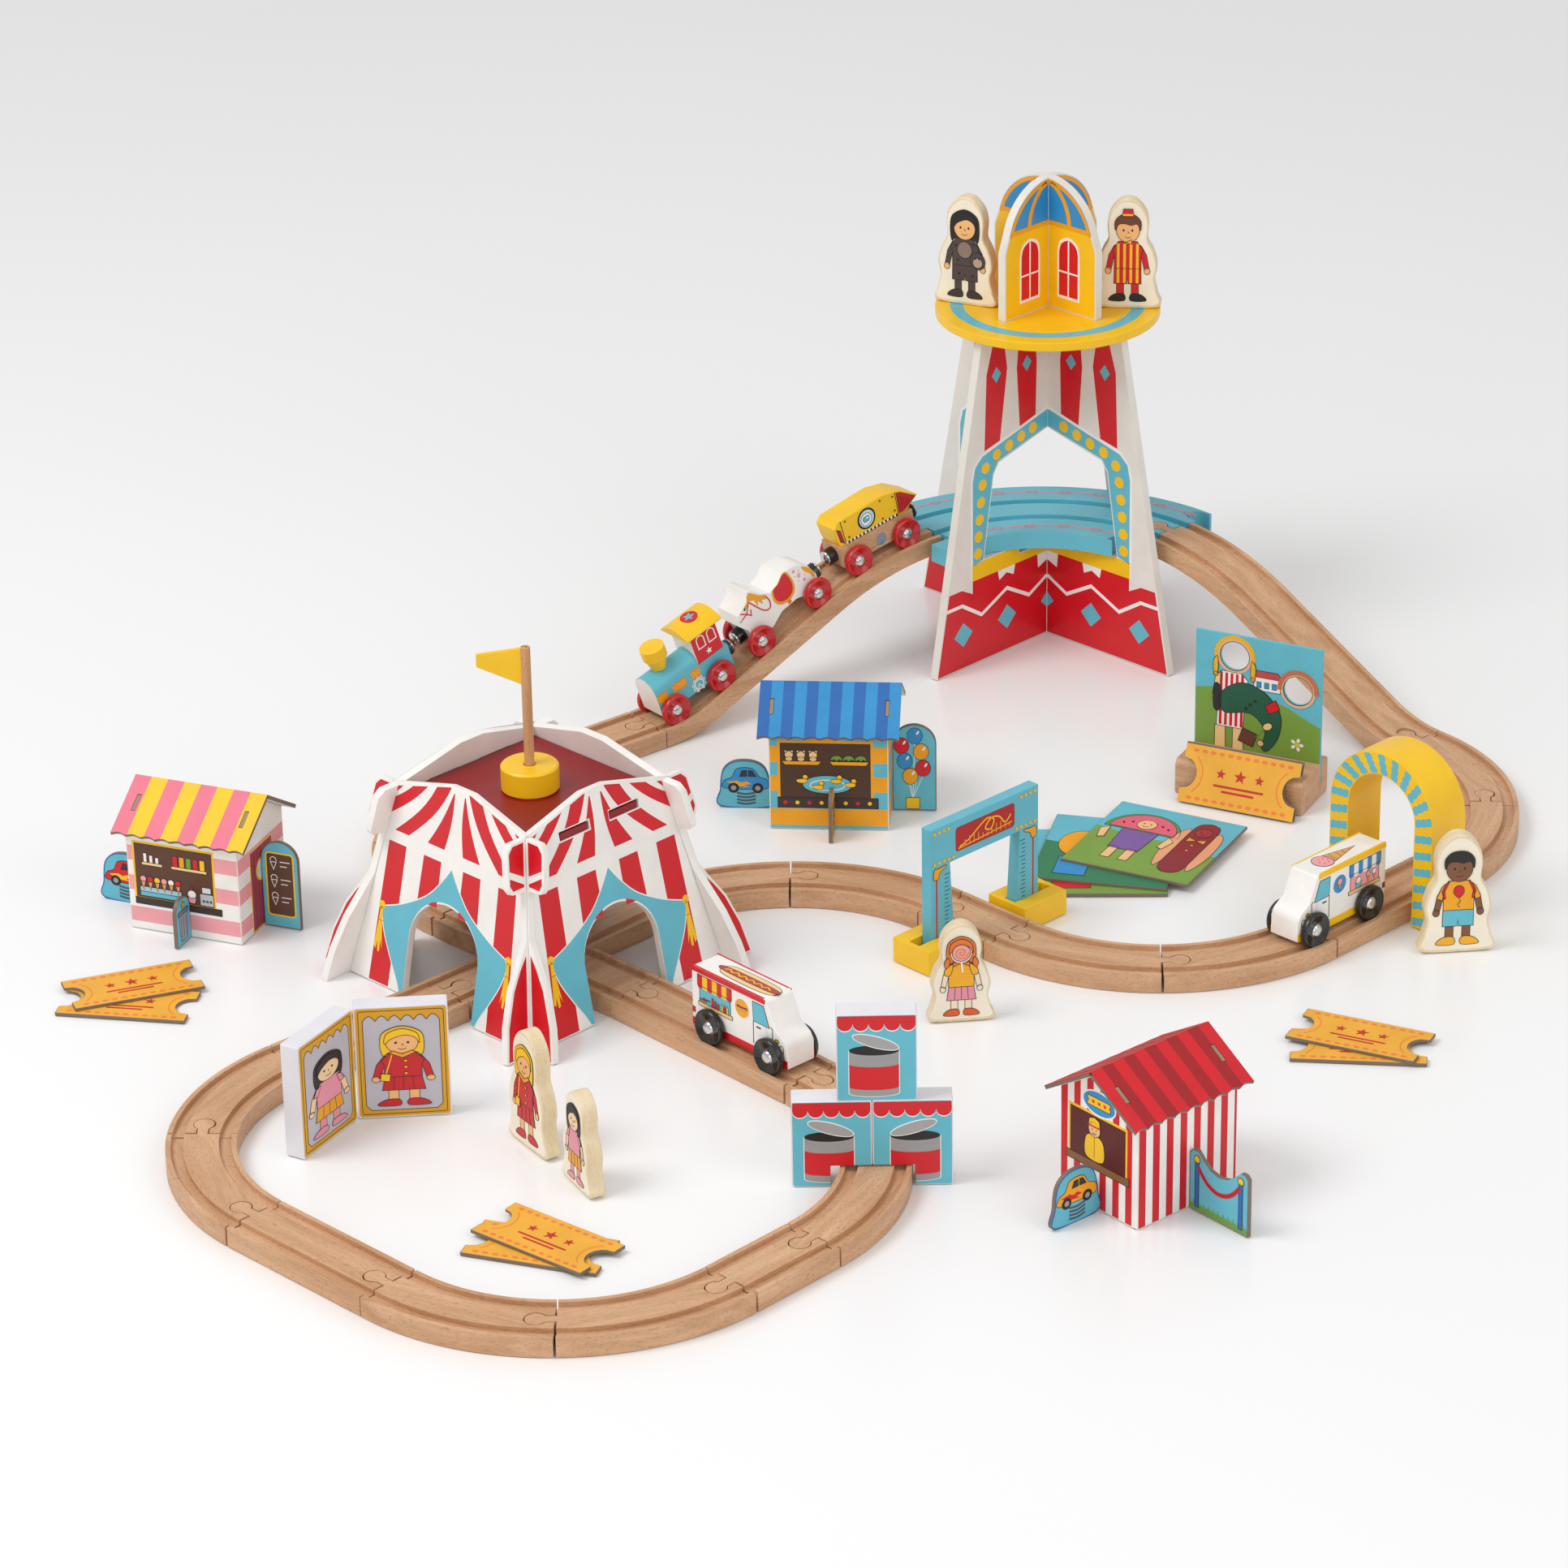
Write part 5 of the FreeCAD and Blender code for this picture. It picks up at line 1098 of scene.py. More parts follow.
def kiosk_roof(name, base, width, depth, ridge, colors, count):
    art = Art(name + "_panels", base, kind="card")
    length = 89.0
    slots = [(x - 1.4, -25.7, x + 1.4, -13.5) for x in (-36.3, 36.3)]
    for turn in (0, 180):
        lying = base @ place(width / 2, depth / 2, ridge, yaw=turn) @ place(roll=ROOF_PITCH)
        art.on(lying)

        def eave(x):
            return -ROOF_SLOPE + 0.2 + 1.5 * abs(math.sin(math.pi * (x + length / 2) / (length / 9)))

        for k in range(count):
            x0 = -length / 2 + length * k / count
            x1 = x0 + length / count
            steps = [x0 + (x1 - x0) * j / 6 for j in range(7)]
            column = [(x1, 0), (x0, 0)] + [(x, eave(x)) for x in steps]
            pieces = [column]
            for slot in slots:
                pieces = [q for p in pieces for q in cut_out(p, *slot)]
            for piece in pieces:
                core = clip(piece, rect(-100, -100, 100, -1.6))
                if len(core) > 2:
                    art.prism([core], CARD_EDGE, -2.35, -0.12)
                art.prism([piece], colors[k % len(colors)], -0.3, 0.05)
                if len(core) > 2:
                    art.prism([core], "EDE9E1", -2.42, -2.2)
        for slot in slots:
            art.prism([rect(slot[0] + 0.3, slot[1] + 0.5, slot[2] - 0.3, slot[3] - 0.5)],
                      "9A8468", -1.9, -0.1)
    obj = art.done()
    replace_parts(obj, name + "_roof")


def spring_car(art, color, flame):
    """A sporty car on a coil spring; x runs from -33 to 0."""
    outline = smooth([(-32.6, 1), (-1, 1), (-0.6, 12), (-1.6, 20), (-5, 28.4), (-13, 32.2), (-24, 31.4),
                      (-30.6, 25), (-32.4, 12)])
    art.fill(outline, SKY, 1)
    art.line(outline, 0.7, DEEP_BLUE, 2, closed=True)
    for k in range(4):
        art.line(smooth([(-22, 3.2 + 2.3 * k), (-16, 2.4 + 2.3 * k), (-10, 3.6 + 2.3 * k)], False), 1.3,
                 "4A5560", 3)
    art.shape(smooth([(-30.5, 13.6), (-29.8, 18.6), (-25, 21), (-21.5, 27), (-12, 27.2), (-7.4, 21.4),
                      (-2.6, 19.4), (-2.4, 13.6), (-16, 12.6)]), color, 3)
    art.shape([(-20, 21.6), (-18.6, 25.6), (-15.6, 25.8), (-15.4, 21.8)], "23303C", 5)
    art.shape([(-14.4, 21.8), (-14.4, 25.8), (-12, 25.6), (-9.4, 21.6)], "23303C", 5)
    art.fill([(-28.4, 17.6), (-22, 18.6), (-19, 17.2), (-15.8, 18.4), (-12.6, 16.4), (-17, 15.8),
              (-14, 14.2), (-20.4, 14.8), (-24, 14), (-23.4, 15.8)], flame, 5)
    for x in (-24, -8.6):
        art.fill(circle(x, 13.6, 3.5, 24), BLACK, 6)
        art.fill(circle(x, 13.6, 1.7, 16), GREY, 8)


def bands(art, region, rows):
    for low, high, color in rows:
        part = clip(rect(-5, low, 120, high), region)
        if len(part) > 2:
            art.fill(part, color, 1)


def kiosk_frames(name, yaw):
    base, size = corner_frame([v.co / MM for v in frame["nodes"][name + "_walls"].data.vertices], yaw)
    sides = {
        "front": base @ UPRIGHT,
        "right": base @ place(75, 0, 0, yaw=90) @ UPRIGHT,
        "back": base @ place(75, 62, 0, yaw=180) @ UPRIGHT,
        "left": base @ place(0, 62, 0, yaw=-90) @ UPRIGHT,
    }
    return base, sides


GABLE = [(0.6, 0.5), (61.4, 0.5), (61.4, 65.4), (31, 83.8), (0.6, 65.4)]
WALL = rect(0.6, 0.5, 74.4, 64.6)


def counter_items(art, kind):
    if kind == "cone":
        art.shape(rect(8, 26, 36, 29.4), "A7C8D6", 5)
        for k, color in enumerate((PALE_PINK, RED, YELLOW, PALE_PINK, WHITE, RED)):
            x = 10.4 + 4.7 * k
            art.shape([(x - 1.5, 33), (x + 1.5, 33), (x, 27)], WAFFLE, 6, width=0.25)
            art.shape(circle(x, 34.6, 2.0, 16), color, 7, width=0.25)
        art.shape(rect(8, 23, 36, 26), SKY, 5)
        art.shape([(40, 27), (46, 27), (44.8, 23), (41.2, 23)], PALE_PINK, 5)
        art.shape(circle(43, 29, 2.9, 20), WHITE, 6)
        art.shape(circle(43, 32.6, 0.9, 12), RED, 7)
        art.shape(soft_rect(48.4, 22.6, 57.6, 30.6, 0.8), "B9BCC0", 5)
        art.shape(rect(50, 31, 56, 35), "D5D8DA", 5)
        for k in range(3):
            art.fill(rect(50 + 2.4 * k, 25, 51.6 + 2.4 * k, 26.4), "3B4046", 7)
        art.shape(rect(10, 44, 24, 46), TAN, 5)
        art.shape(rect(30, 44, 54, 46), TAN, 5)
        for k, color in enumerate((RED, ORANGE, GREEN, RED, YELLOW)):
            art.shape(soft_rect(31 + 4.6 * k, 46, 34.4 + 4.6 * k, 53, 0.8), color, 5, width=0.25)
        for k in range(3):
            art.shape(rect(11.4 + 4 * k, 46, 13.6 + 4 * k, 52 - k), WHITE, 5, width=0.25)
    elif kind == "duck":
        art.shape(ellipse(36.7, 31, 15.6, 6.2, 0, 36), SKY, 5)
        art.line(ellipse(36.7, 30.6, 11, 3.6, 0, 30), 0.5, WHITE, 7, closed=True)
        for x, z in ((20.5, 33.4), (30.6, 29.2), (42, 33.4), (51, 31)):
            art.shape(smooth([(x - 3.4, z + 0.8), (x - 2, z - 1.2), (x + 2.6, z - 1.2), (x + 3.2, z + 1.4),
                              (x + 0.6, z + 1.6)]), YELLOW, 8, width=0.25)
            art.shape(circle(x + 2.2, z + 2.8, 1.6, 14), YELLOW, 9, width=0.25)
            art.fill([(x + 3.6, z + 3.0), (x + 5.0, z + 2.5), (x + 3.6, z + 2.2)], RED, 11)
        for x0, kind_of in ((8, "bear"), (38, "car")):
            art.shape([(x0, 47), (x0 + 25, 47), (x0 + 23, 44.4), (x0 + 2, 44.4)], ORANGE, 5)
            for k in range(3):
                x = x0 + 4.6 + 7.6 * k
                if kind_of == "bear":
                    art.shape(circle(x, 51.4, 2.6, 16), TAN, 6, width=0.25)
                    for s in (-1, 1):
                        art.shape(circle(x + 1.9 * s, 53.6, 0.9, 10), TAN, 6, width=0.25)
                    art.shape(ellipse(x, 48.6, 2.2, 1.6, 0, 14), TAN, 7, width=0.25)
                else:
                    art.shape(smooth([(x - 3.4, 48), (x - 2.2, 50.6), (x + 1.6, 51), (x + 3.4, 48)]), GREEN, 6,
                              width=0.25)
                    for s in (-1, 1):
                        art.fill(circle(x + 1.7 * s, 47.8, 0.9, 10), BLACK, 8)
    else:
        art.shape(smooth([(28, 30), (41, 30), (42, 40), (38.6, 44.6), (30.8, 44.6), (27, 40)]), YELLOW, 5)
        art.shape(circle(34.6, 48.4, 4.6, 24), SKIN, 6)
        art.shape([(30, 50), (39.2, 50), (38.6, 54.6), (34.6, 56), (30.6, 54.6)], YELLOW, 7)
        art.line([(29.6, 50.4), (39.8, 50.4)], 0.8, RED, 9)
        for s in (-1, 1):
            art.fill(circle(34.6 + 1.6 * s, 48.4, 0.4, 8), BLACK, 9)
        art.line(arc(34.6, 47.4, 1.6, 210, 330, 6), 0.3, BLACK, 9)
        art.line([(34.6, 44), (34.6, 31)], 0.4, "B07A12", 7)


def cone_kiosk():
    name, yaw = "cone_kiosk", -21.8
    base, side = kiosk_frames(name, yaw)
    dress(name + "_walls", paint("E9E4DA", "card"), bevel=0.2)
    rows = [(0.5, 5, WHITE), (5, 15, PALE_PINK), (15, 26, WHITE), (26, 36, PALE_PINK), (36, 46, WHITE),
            (46, 56, PALE_PINK), (56, 90, WHITE)]
    art = Art(name + "_print", base, kind="card")
    for label in ("front", "back", "left", "right"):
        art.on(side[label])
        bands(art, WALL if label in ("front", "back") else GABLE, rows)
    art.on(side["front"])
    art.fill(rect(4, 17, 59, 59.6), YELLOW, 2)
    art.fill(rect(5.3, 22, 57.7, 58.2), BROWN, 3)
    art.shape(rect(4.5, 17.2, 62.7, 21.6), "3A2A26", 4)
    counter_items(art, "cone")
    art.on(side["right"])
    art.fill(rect(16, 0.6, 46, 54), "A63A52", 2)
    art.line(rect(16, 0.8, 46, 54), 0.9, YELLOW, 3, closed=True)
    for k in range(1, 6):
        art.line([(16 + 5 * k, 1), (16 + 5 * k, 53.6)], 0.35, "6E1F33", 3)
    art.fill(circle(31, 38, 7.6, 32), YELLOW, 4)
    art.fill(circle(31, 38, 6.2, 32), "BFE3EC", 5)
    art.line([(31, 31.8), (31, 44.2)], 0.8, YELLOW, 6)
    art.line([(24.8, 38), (37.2, 38)], 0.8, YELLOW, 6)
    art.shape(circle(42.2, 24, 1.3, 16), YELLOW, 4)
    art.done()
    kiosk_roof(name, base, 75, 62, 88, [PINK, YELLOW], 8)
    signs = Art(name + "_signs", base, kind="card")
    spot = base @ place(-1.4, 31, 0)
    plate(signs, spot, 2.4, smooth([(-32.6, 0.2), (-1, 0.2), (-0.4, 12), (-1.4, 20.4), (-5, 28.8),
                                    (-13, 32.6), (-24, 31.8), (-31, 25.4), (-32.8, 12)]))
    both_faces(signs, spot, 2.4, lambda a: spring_car(a, RED, YELLOW))
    spot = base @ place(75.5, 31, 0)
    plate(signs, spot, 2.4, [(0.2, 0.2), (24.8, 0.2)] + arc(12.5, 45.3, 12.4, 0, 180, 16))

    def board_face(a):
        a.fill([(0.8, 0.8), (24.2, 0.8)] + arc(12.5, 45.3, 11.8, 0, 180, 16), SKY, 1)
        a.shape(soft_rect(3.4, 8, 21.6, 50, 2.4), "5A3B28", 2, edge=YELLOW, width=1.0)
        for k in range(3):
            z = 15 + 12 * k
            a.line([(6.4, z + 5), (10.4, z + 5), (8.4, z), (6.4, z + 5)], 0.45, WHITE, 5)
            a.line(arc(8.4, z + 6.4, 2.0, -20, 200, 10), 0.45, WHITE, 5)
            for j in range(2):
                a.line([(12.8, z + 5.5 - 3 * j), (19.4 - 2 * j, z + 5.5 - 3 * j)], 0.55, WHITE, 5)

    both_faces(signs, spot, 2.4, board_face)
    spot = base @ place(75 * 0.53, -0.5, 0, yaw=-90)
    plate(signs, spot, 2.4, [(0.2, 0.2), (17.8, 0.2)] + arc(9, 22, 8.9, 0, 180, 14))

    def bin_face(a):
        a.fill([(0.7, 0.7), (17.3, 0.7)] + arc(9, 22, 8.3, 0, 180, 14), SKY, 1)
        a.shape([(4.6, 3), (13.4, 3), (14.6, 20), (3.4, 20)], "8E9AA3", 2)
        a.shape(soft_rect(2.6, 20, 15.4, 23, 0.8), "6C7780", 4)
        for k in range(3):
            a.line([(6 + 3 * k, 5), (5.8 + 3.2 * k, 18)], 0.5, "56606A", 4)
        a.shape(star(9, 26.2, 2.4), YELLOW, 4)

    both_faces(signs, spot, 2.4, bin_face)
    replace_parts(signs.done(), name + "_cutouts")


def duck_kiosk():
    name, yaw = "duck_kiosk", -4.9
    base, side = kiosk_frames(name, yaw)
    dress(name + "_walls", paint("E9E4DA", "card"), bevel=0.2)
    rows = [(0.5, 2.5, SKY), (2.5, 14, ORANGE), (14, 26, SKY), (26, 36.5, ORANGE), (36.5, 46, SKY),
            (46, 57, ORANGE), (57, 90, SKY)]
    art = Art(name + "_print", base, kind="card")
    for label in ("front", "back", "left", "right"):
        art.on(side[label])
        bands(art, WALL if label in ("front", "back") else GABLE, rows)
    art.on(side["front"])
    bump = [(5.3, 14.6), (65.6, 14.6), (65.6, 61), (50, 61), (44, 61.6), (41, 63.8), (35.4, 64.4), (30, 63.8),
            (27, 61.6), (21, 61), (5.3, 61)]
    art.fill(bump, ORANGE, 2)
    art.fill(rect(7, 22, 63.9, 59.4), "4A2F1E", 3)
    art.shape(rect(5.3, 14.8, 68.5, 21.9), "3A2A26", 4)
    for k in range(8):
        art.fill(circle(10 + 7.6 * k, 18.3, 1.3, 14), YELLOW if k % 2 else RED, 6)
    counter_items(art, "duck")
    art.done()
    kiosk_roof(name, base, 75, 62, 88, [DEEP_BLUE, BLUE], 12)
    signs = Art(name + "_signs", base, kind="card")
    spot = base @ place(-1.4, 31, 0)
    plate(signs, spot, 2.4, smooth([(-32.6, 0.2), (-1, 0.2), (-0.4, 12), (-1.4, 20.4), (-5, 28.8),
                                    (-13, 32.6), (-24, 31.8), (-31, 25.4), (-32.8, 12)]))
    both_faces(signs, spot, 2.4, lambda a: spring_car(a, BLUE, ORANGE))
    spot = base @ place(75.5, 31, 0)
    plate(signs, spot, 2.4, [(0.2, 0.2), (27.8, 0.2)] + arc(14, 45.8, 13.9, 0, 180, 16))

    def balloons(a):
        a.fill([(0.8, 0.8), (27.2, 0.8)] + arc(14, 45.8, 13.2, 0, 180, 16), SKY, 1)
        a.shape(soft_rect(8.6, 1.2, 17.4, 9, 1.0), YELLOW, 3)
        spots = ((14.4, 52, BLUE), (5.9, 45, RED), (18.3, 41, ORANGE), (8, 34.5, BLUE), (19.5, 29.7, RED),
                 (11.5, 24, ORANGE))
        for x, z, color in spots:
            a.line([(x, z - 5), (12.9, 8)], 0.35, WHITE, 2)
        for k, (x, z, color) in enumerate(spots):
            a.shape(ellipse(x, z, 4.8, 5.6, 0, 24), color, 3 + k, width=0.3)
            a.fill(ellipse(x + 1.8, z + 2.2, 0.7, 1.6, -30, 12), WHITE, 5 + k)

    both_faces(signs, spot, 2.4, balloons)
    spot = base @ place(75 * 0.53, -0.5, 0, yaw=-90)
    plate(signs, spot, 2.4, [(0.2, 0.2), (19.8, 0.2)] + arc(10, 23, 9.9, 0, 180, 14))

    def bin_face(a):
        a.fill([(0.7, 0.7), (19.3, 0.7)] + arc(10, 23, 9.3, 0, 180, 14), ORANGE, 1)
        a.shape([(5, 3), (15, 3), (16.2, 21), (3.8, 21)], "5FA35A", 2)
        a.shape(soft_rect(3, 21, 17, 24, 0.8), "3F7D42", 4)
        a.shape(star(10, 12, 3.4), WHITE, 4)

    both_faces(signs, spot, 2.4, bin_face)
    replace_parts(signs.done(), name + "_cutouts")


def red_kiosk():
    name, yaw = "red_kiosk", 39.8
    base, side = kiosk_frames(name, yaw)
    dress(name + "_walls", paint("E9E4DA", "card"), bevel=0.2)
    art = Art(name + "_print", base, kind="card")
    for label in ("front", "back", "left", "right"):
        art.on(side[label])
        region = WALL if label in ("front", "back") else GABLE
        width = 74.4 if label in ("front", "back") else 61.4
        count = int(width / 5.15) + 1
        for k in range(count):
            part = clip(rect(0.6 + 5.15 * k, 0, 0.6 + 5.15 * (k + 1), 100), region)
            if len(part) > 2:
                art.fill(part, RED if k % 2 == 0 else WHITE, 1)
    # the serving window is in the left gable; the drawing runs from its front corner
    art.on(base @ place(0, 62, 0, yaw=-90) @ UPRIGHT @ Matrix.Translation((62, 0, 0))
           @ Matrix.Scale(-1, 4, (1, 0, 0)))
    art.fill(rect(8.6, 27, 55.4, 58.6), YELLOW, 2)
    art.fill(rect(10, 28, 54, 57), "5A1714", 3)
    art.shape(rect(7, 23.6, 57, 28.4), "8A5A34", 4)
    counter_items(art, "red")
    art.shape(ellipse(31, 65.6, 13, 7.4, 0, 36), BLUE, 4, edge=WHITE, width=0.9)
    art.shape([(22, 63), (40, 63), (40, 65), (39, 65.8), (40, 66.6), (40, 68.6), (22, 68.6), (22, 66.6),
               (23, 65.8), (22, 65)], YELLOW, 6, width=0.3)
    for k in range(3):
        art.fill(star(26.4 + 4.6 * k, 65.8, 1.5), RED, 9)
    art.done()
    kiosk_roof(name, base, 75, 62, 88, [RED, "A30F19"], 11)
    signs = Art(name + "_signs", base, kind="card")
    spot = base @ place(-1.4, 31, 0)
    plate(signs, spot, 2.4, smooth([(-32.6, 0.2), (-1, 0.2), (-0.4, 12), (-1.4, 20.4), (-5, 28.8),
                                    (-13, 32.6), (-24, 31.8), (-31, 25.4), (-32.8, 12)]))
    both_faces(signs, spot, 2.4, lambda a: spring_car(a, ORANGE, RED))
    spot = base @ place(75 * 0.53, -0.5, 0, yaw=-90)
    fence = [(0.2, 0.2), (45.8, 0.2), (45.8, 35.6), (43.6, 37.8), (40, 37.8), (36, 34), (30, 29.6), (23, 28),
             (16, 29.6), (10, 34), (6, 37.8), (2.4, 37.8), (0.2, 35.6)]
    plate(signs, spot, 2.4, fence)

    def barrier_face(a):
        a.fill([(23 + (x - 23) * 0.97, 0.4 + z * 0.975) for x, z in fence], SKY, 1)
        grass = [(0.9, 0.8), (45.1, 0.8)]
        for k in range(23):
            grass += [(45.1 - 1.93 * k, 3.6), (45.1 - 1.93 * (k + 0.5), 7.4 if k % 2 else 5.6)]
        a.fill(grass + [(0.9, 3.6)], GREEN, 3)
        for x in (6, 40):
            a.shape(rect(x - 1.5, 3, x + 1.5, 31), DEEP_BLUE, 4)
            a.shape(circle(x, 32.6, 2.3, 20), YELLOW, 5)
        a.line(smooth([(7, 28), (14, 20.6), (23, 17.6), (32, 20.6), (39, 28)], False), 2.6, RED, 6)
        a.line(smooth([(7, 28), (14, 20.6), (23, 17.6), (32, 20.6), (39, 28)], False), 0.5, DARK_RED, 8)

    both_faces(signs, spot, 2.4, barrier_face)
    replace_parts(signs.done(), name + "_cutouts")


cone_kiosk()
duck_kiosk()
red_kiosk()


# -------------------------------------------------------------- the people
OUTFITS = {
    "coat": dict(skin=PEACH, hair=YELLOW, long_hair=True, top=CARMINE, arms=CARMINE, skirt=CARMINE,
                 legs=PEACH, shoes=CARMINE),
    "pink": dict(skin="F3CFA4", hair=BLACK, long_hair=True, top=ROSE, arms="F3CFA4", skirt="E9A21C",
                 legs=ROSE, shoes=ROSE),
    "sweet": dict(skin=PALE_CREAM, hair=TANGERINE, long_hair=True, top="F2AE12", arms=PALE_CREAM, skirt=ROSE,
                  legs=PALE_CREAM, shoes="DE5A1B"),
    "boy": dict(skin=CHESTNUT, hair=BLACK, long_hair=False, top="F0A512", arms=CHESTNUT, skirt=SKY,
                legs=CHESTNUT, shoes="F2B01C"),
    "ape": dict(skin=PEACH, hair=BLACK, long_hair=True, top=SLATE_BROWN, arms=SLATE_BROWN, skirt=SLATE_BROWN,
                legs=SLATE_BROWN, shoes="3A2F2C"),
    "striped": dict(skin=PEACH, hair="6B3A1E", long_hair=False, top=RED, arms=RED, skirt=RED, legs=RED,
                    shoes=BLACK),
}


def person(art, kind, ox, oz, sx, sz, layer=2):
    """A printed person 66 units tall with the feet at (ox, oz)."""
    wear = OUTFITS[kind]

    def at(points):
        return [(ox + x * sx, oz + z * sz) for x, z in points]

    def draw(points, color, up=0, width=0.35):
        art.shape(at(points), color, layer + up, width=width)

    for side in (False, True):
        def sided(points):
            return mirror(points) if side else points
        draw(sided(rect(2.6, 3.4, 7.6, 15)), wear["legs"])
        draw(sided(smooth([(2.2, 0.2), (12.4, 0.2), (12, 2.8), (8, 5.2), (2.4, 5.0)], True, 3)),
             wear["shoes"], 2)
        draw(sided([(6, 41), (9.4, 39.6), (13, 33), (14.8, 23.6), (11.4, 22.4), (9.6, 30.6), (7, 34)]),
             wear["arms"], 1)
        draw(sided(ellipse(13.4, 21.6, 2.1, 2.4, 0, 14)), wear["skin"], 2)
    if kind in ("boy", "ape", "striped"):
        draw([(-9.4, 12.4), (-0.5, 12.4), (0, 17), (0.5, 12.4), (9.4, 12.4), (9.2, 24.4), (-9.2, 24.4)],
             wear["skirt"], 3)
    else:
        draw([(-10.6, 12.6), (10.6, 12.6), (8.8, 25), (-8.8, 25)], wear["skirt"], 3)
        for x in (-4.4, 0, 4.4):
            art.line(at([(x * 1.15, 13), (x, 23.6)]), 0.3, BLACK, layer + 5)
    draw([(-9.2, 23.2), (9.2, 23.2), (9.2, 33), (10.6, 36.4), (6.4, 42.6), (-6.4, 42.6), (-10.6, 36.4),
          (-9.2, 33)], wear["top"], 5)
    if wear["long_hair"]:
        draw(smooth([(-9.6, 40.6), (-10.8, 50), (-9.0, 59), (0, 63.6), (9.0, 59), (10.8, 50), (9.6, 40.6),
                     (6, 43), (-6, 43)]), wear["hair"], 6)
    draw(ellipse(0, 50.4, 7.9, 8.4, 0, 32), wear["skin"], 8)
    if wear["long_hair"]:
        draw(smooth([(-8.6, 50), (-7.4, 57.8), (0, 61.6), (7.4, 57.8), (8.6, 50), (6.4, 54.4), (1.5, 56.6),
                     (-5.0, 54.0)]), wear["hair"], 10)
    else:
        draw(smooth([(-8.6, 50.6), (-8.8, 57), (-4, 61.6), (4, 61.6), (8.8, 57), (8.6, 50.6), (6.4, 55),
                     (2, 54.2), (-2, 55.2), (-6.4, 54.6)]), wear["hair"], 10)
    for x in (-3, 3):
        art.fill(at(ellipse(x, 50.6, 0.7, 0.9, 0, 12)), BLACK, layer + 10)
    art.line(at(arc(0, 47.6, 2.4, 215, 325, 7)), 0.35, BLACK, layer + 10)
    art.line(at([(-0.2, 50), (0.8, 48.8), (-0.3, 48.6)]), 0.25, BLACK, layer + 10)
    extras(art, kind, at, layer)


def extras(art, kind, at, layer):
    if kind == "coat":
        art.shape(at([(-6.6, 42.8), (0, 38.6), (6.6, 42.8), (4.6, 44.2), (0, 41.6), (-4.6, 44.2)]), ORANGE,
                  layer + 11)
        art.line(at([(-5.2, 41), (-8.4, 26)]), 0.7, YELLOW, layer + 9)
        art.shape(at([(-11.4, 20.6), (-6.8, 19.8), (-6.2, 25.6), (-10.8, 26.4)]), YELLOW, layer + 9)
        for z in (36, 31, 26):
            art.shape(at(circle(1.4, z, 0.9, 12)), YELLOW, layer + 9, width=0.2)
    elif kind == "pink":
        for side in (-1, 1):
            art.shape(at([(side * 6, 41), (side * 9.6, 39.4), (side * 11.6, 34), (side * 8.2, 33.6)]),
                      ROSE, layer + 7)
    elif kind == "sweet":
        for side in (-1, 1):
            art.shape(at(smooth([(side * 6, 41.6), (side * 11.4, 38), (side * 12, 33.4), (side * 8, 33)])),
                      "F2AE12", layer + 7)
            art.shape(at(smooth([(side * 9.4, 47), (side * 12.4, 43), (side * 11, 38.6), (side * 8.4, 42)])),
                      TANGERINE, layer + 11)
        art.shape(at([(-6, 43.6), (-1, 42), (-6, 39.8)]), TANGERINE, layer + 12)
        art.shape(at([(6, 43.6), (1, 42), (6, 39.8)]), TANGERINE, layer + 12)
        art.shape(at(circle(0, 50.6, 6.6, 28)), "EFA3AC", layer + 13)
        art.line(at([(0.42 * t * math.cos(t), 50.6 + 0.42 * t * math.sin(t))
                     for t in (0.6 * k for k in range(1, 22))]), 0.8, "E8892C", layer + 15)
        art.line(at([(0, 44), (1, 35)]), 0.9, WHITE, layer + 13)
    elif kind == "boy":
        for side in (-1, 1):
            art.shape(at([(side * 5.6, 42.4), (side * 8.2, 40.6), (side * 10.4, 36), (side * 9.2, 31),
                          (side * 8.0, 31), (side * 8.6, 36)]), RED, layer + 8)
            art.shape(at([(side * 8.4, 40.6), (side * 10.4, 38.6), (side * 13.4, 31.4), (side * 10.0, 30)]),
                      "F0A512", layer + 7)
        art.shape(at(smooth([(0, 31.4), (3, 34.4), (2.6, 38), (0, 39.4), (-2.6, 38), (-3, 34.4)])), RED,
                  layer + 8)
        art.line(at(smooth([(0, 31.4), (1, 29), (-0.6, 27), (0.8, 25)], False)), 0.35, BLACK, layer + 8)
    elif kind == "ape":
        art.shape(at(ellipse(0, 34.6, 5.4, 6, 0, 24)), "8A7468", layer + 8)
        art.shape(at(ellipse(9.6, 27.6, 5.4, 6.2, 15, 24)), SLATE_BROWN, layer + 9)
        art.shape(at(ellipse(9.8, 26.4, 3.6, 3.6, 15, 20)), "B79A88", layer + 11)
        for x in (8.2, 11.0):
            art.fill(at(circle(x, 29.4, 0.7, 10)), BLACK, layer + 12)
        for x, z in ((-6, 28), (6, 40), (-7.4, 38), (5, 17), (-5, 18)):
            art.line(at([(x, z), (x + 0.8, z - 1.8), (x + 1.6, z)]), 0.3, BLACK, layer + 9)
    elif kind == "striped":
        for k in range(4):
            x = -6.6 + 4.4 * k
            art.fill(at(rect(x - 0.9, 23.6, x + 0.9, 41)), YELLOW, layer + 8)
            art.fill(at(rect(x - 0.9, 13, x + 0.9, 23.2)), YELLOW, layer + 6)
        art.shape(at([(-2.6, 42.6), (2.6, 40.6), (2.6, 44), (-2.6, 41.4)]), YELLOW, layer + 11)
        art.shape(at([(-3.8, 60.4), (3.8, 60.4), (3.2, 65.6), (-3.2, 65.6)]), RED, layer + 13)
        art.fill(at(rect(-3.6, 61, 3.6, 62.2)), YELLOW, layer + 15)


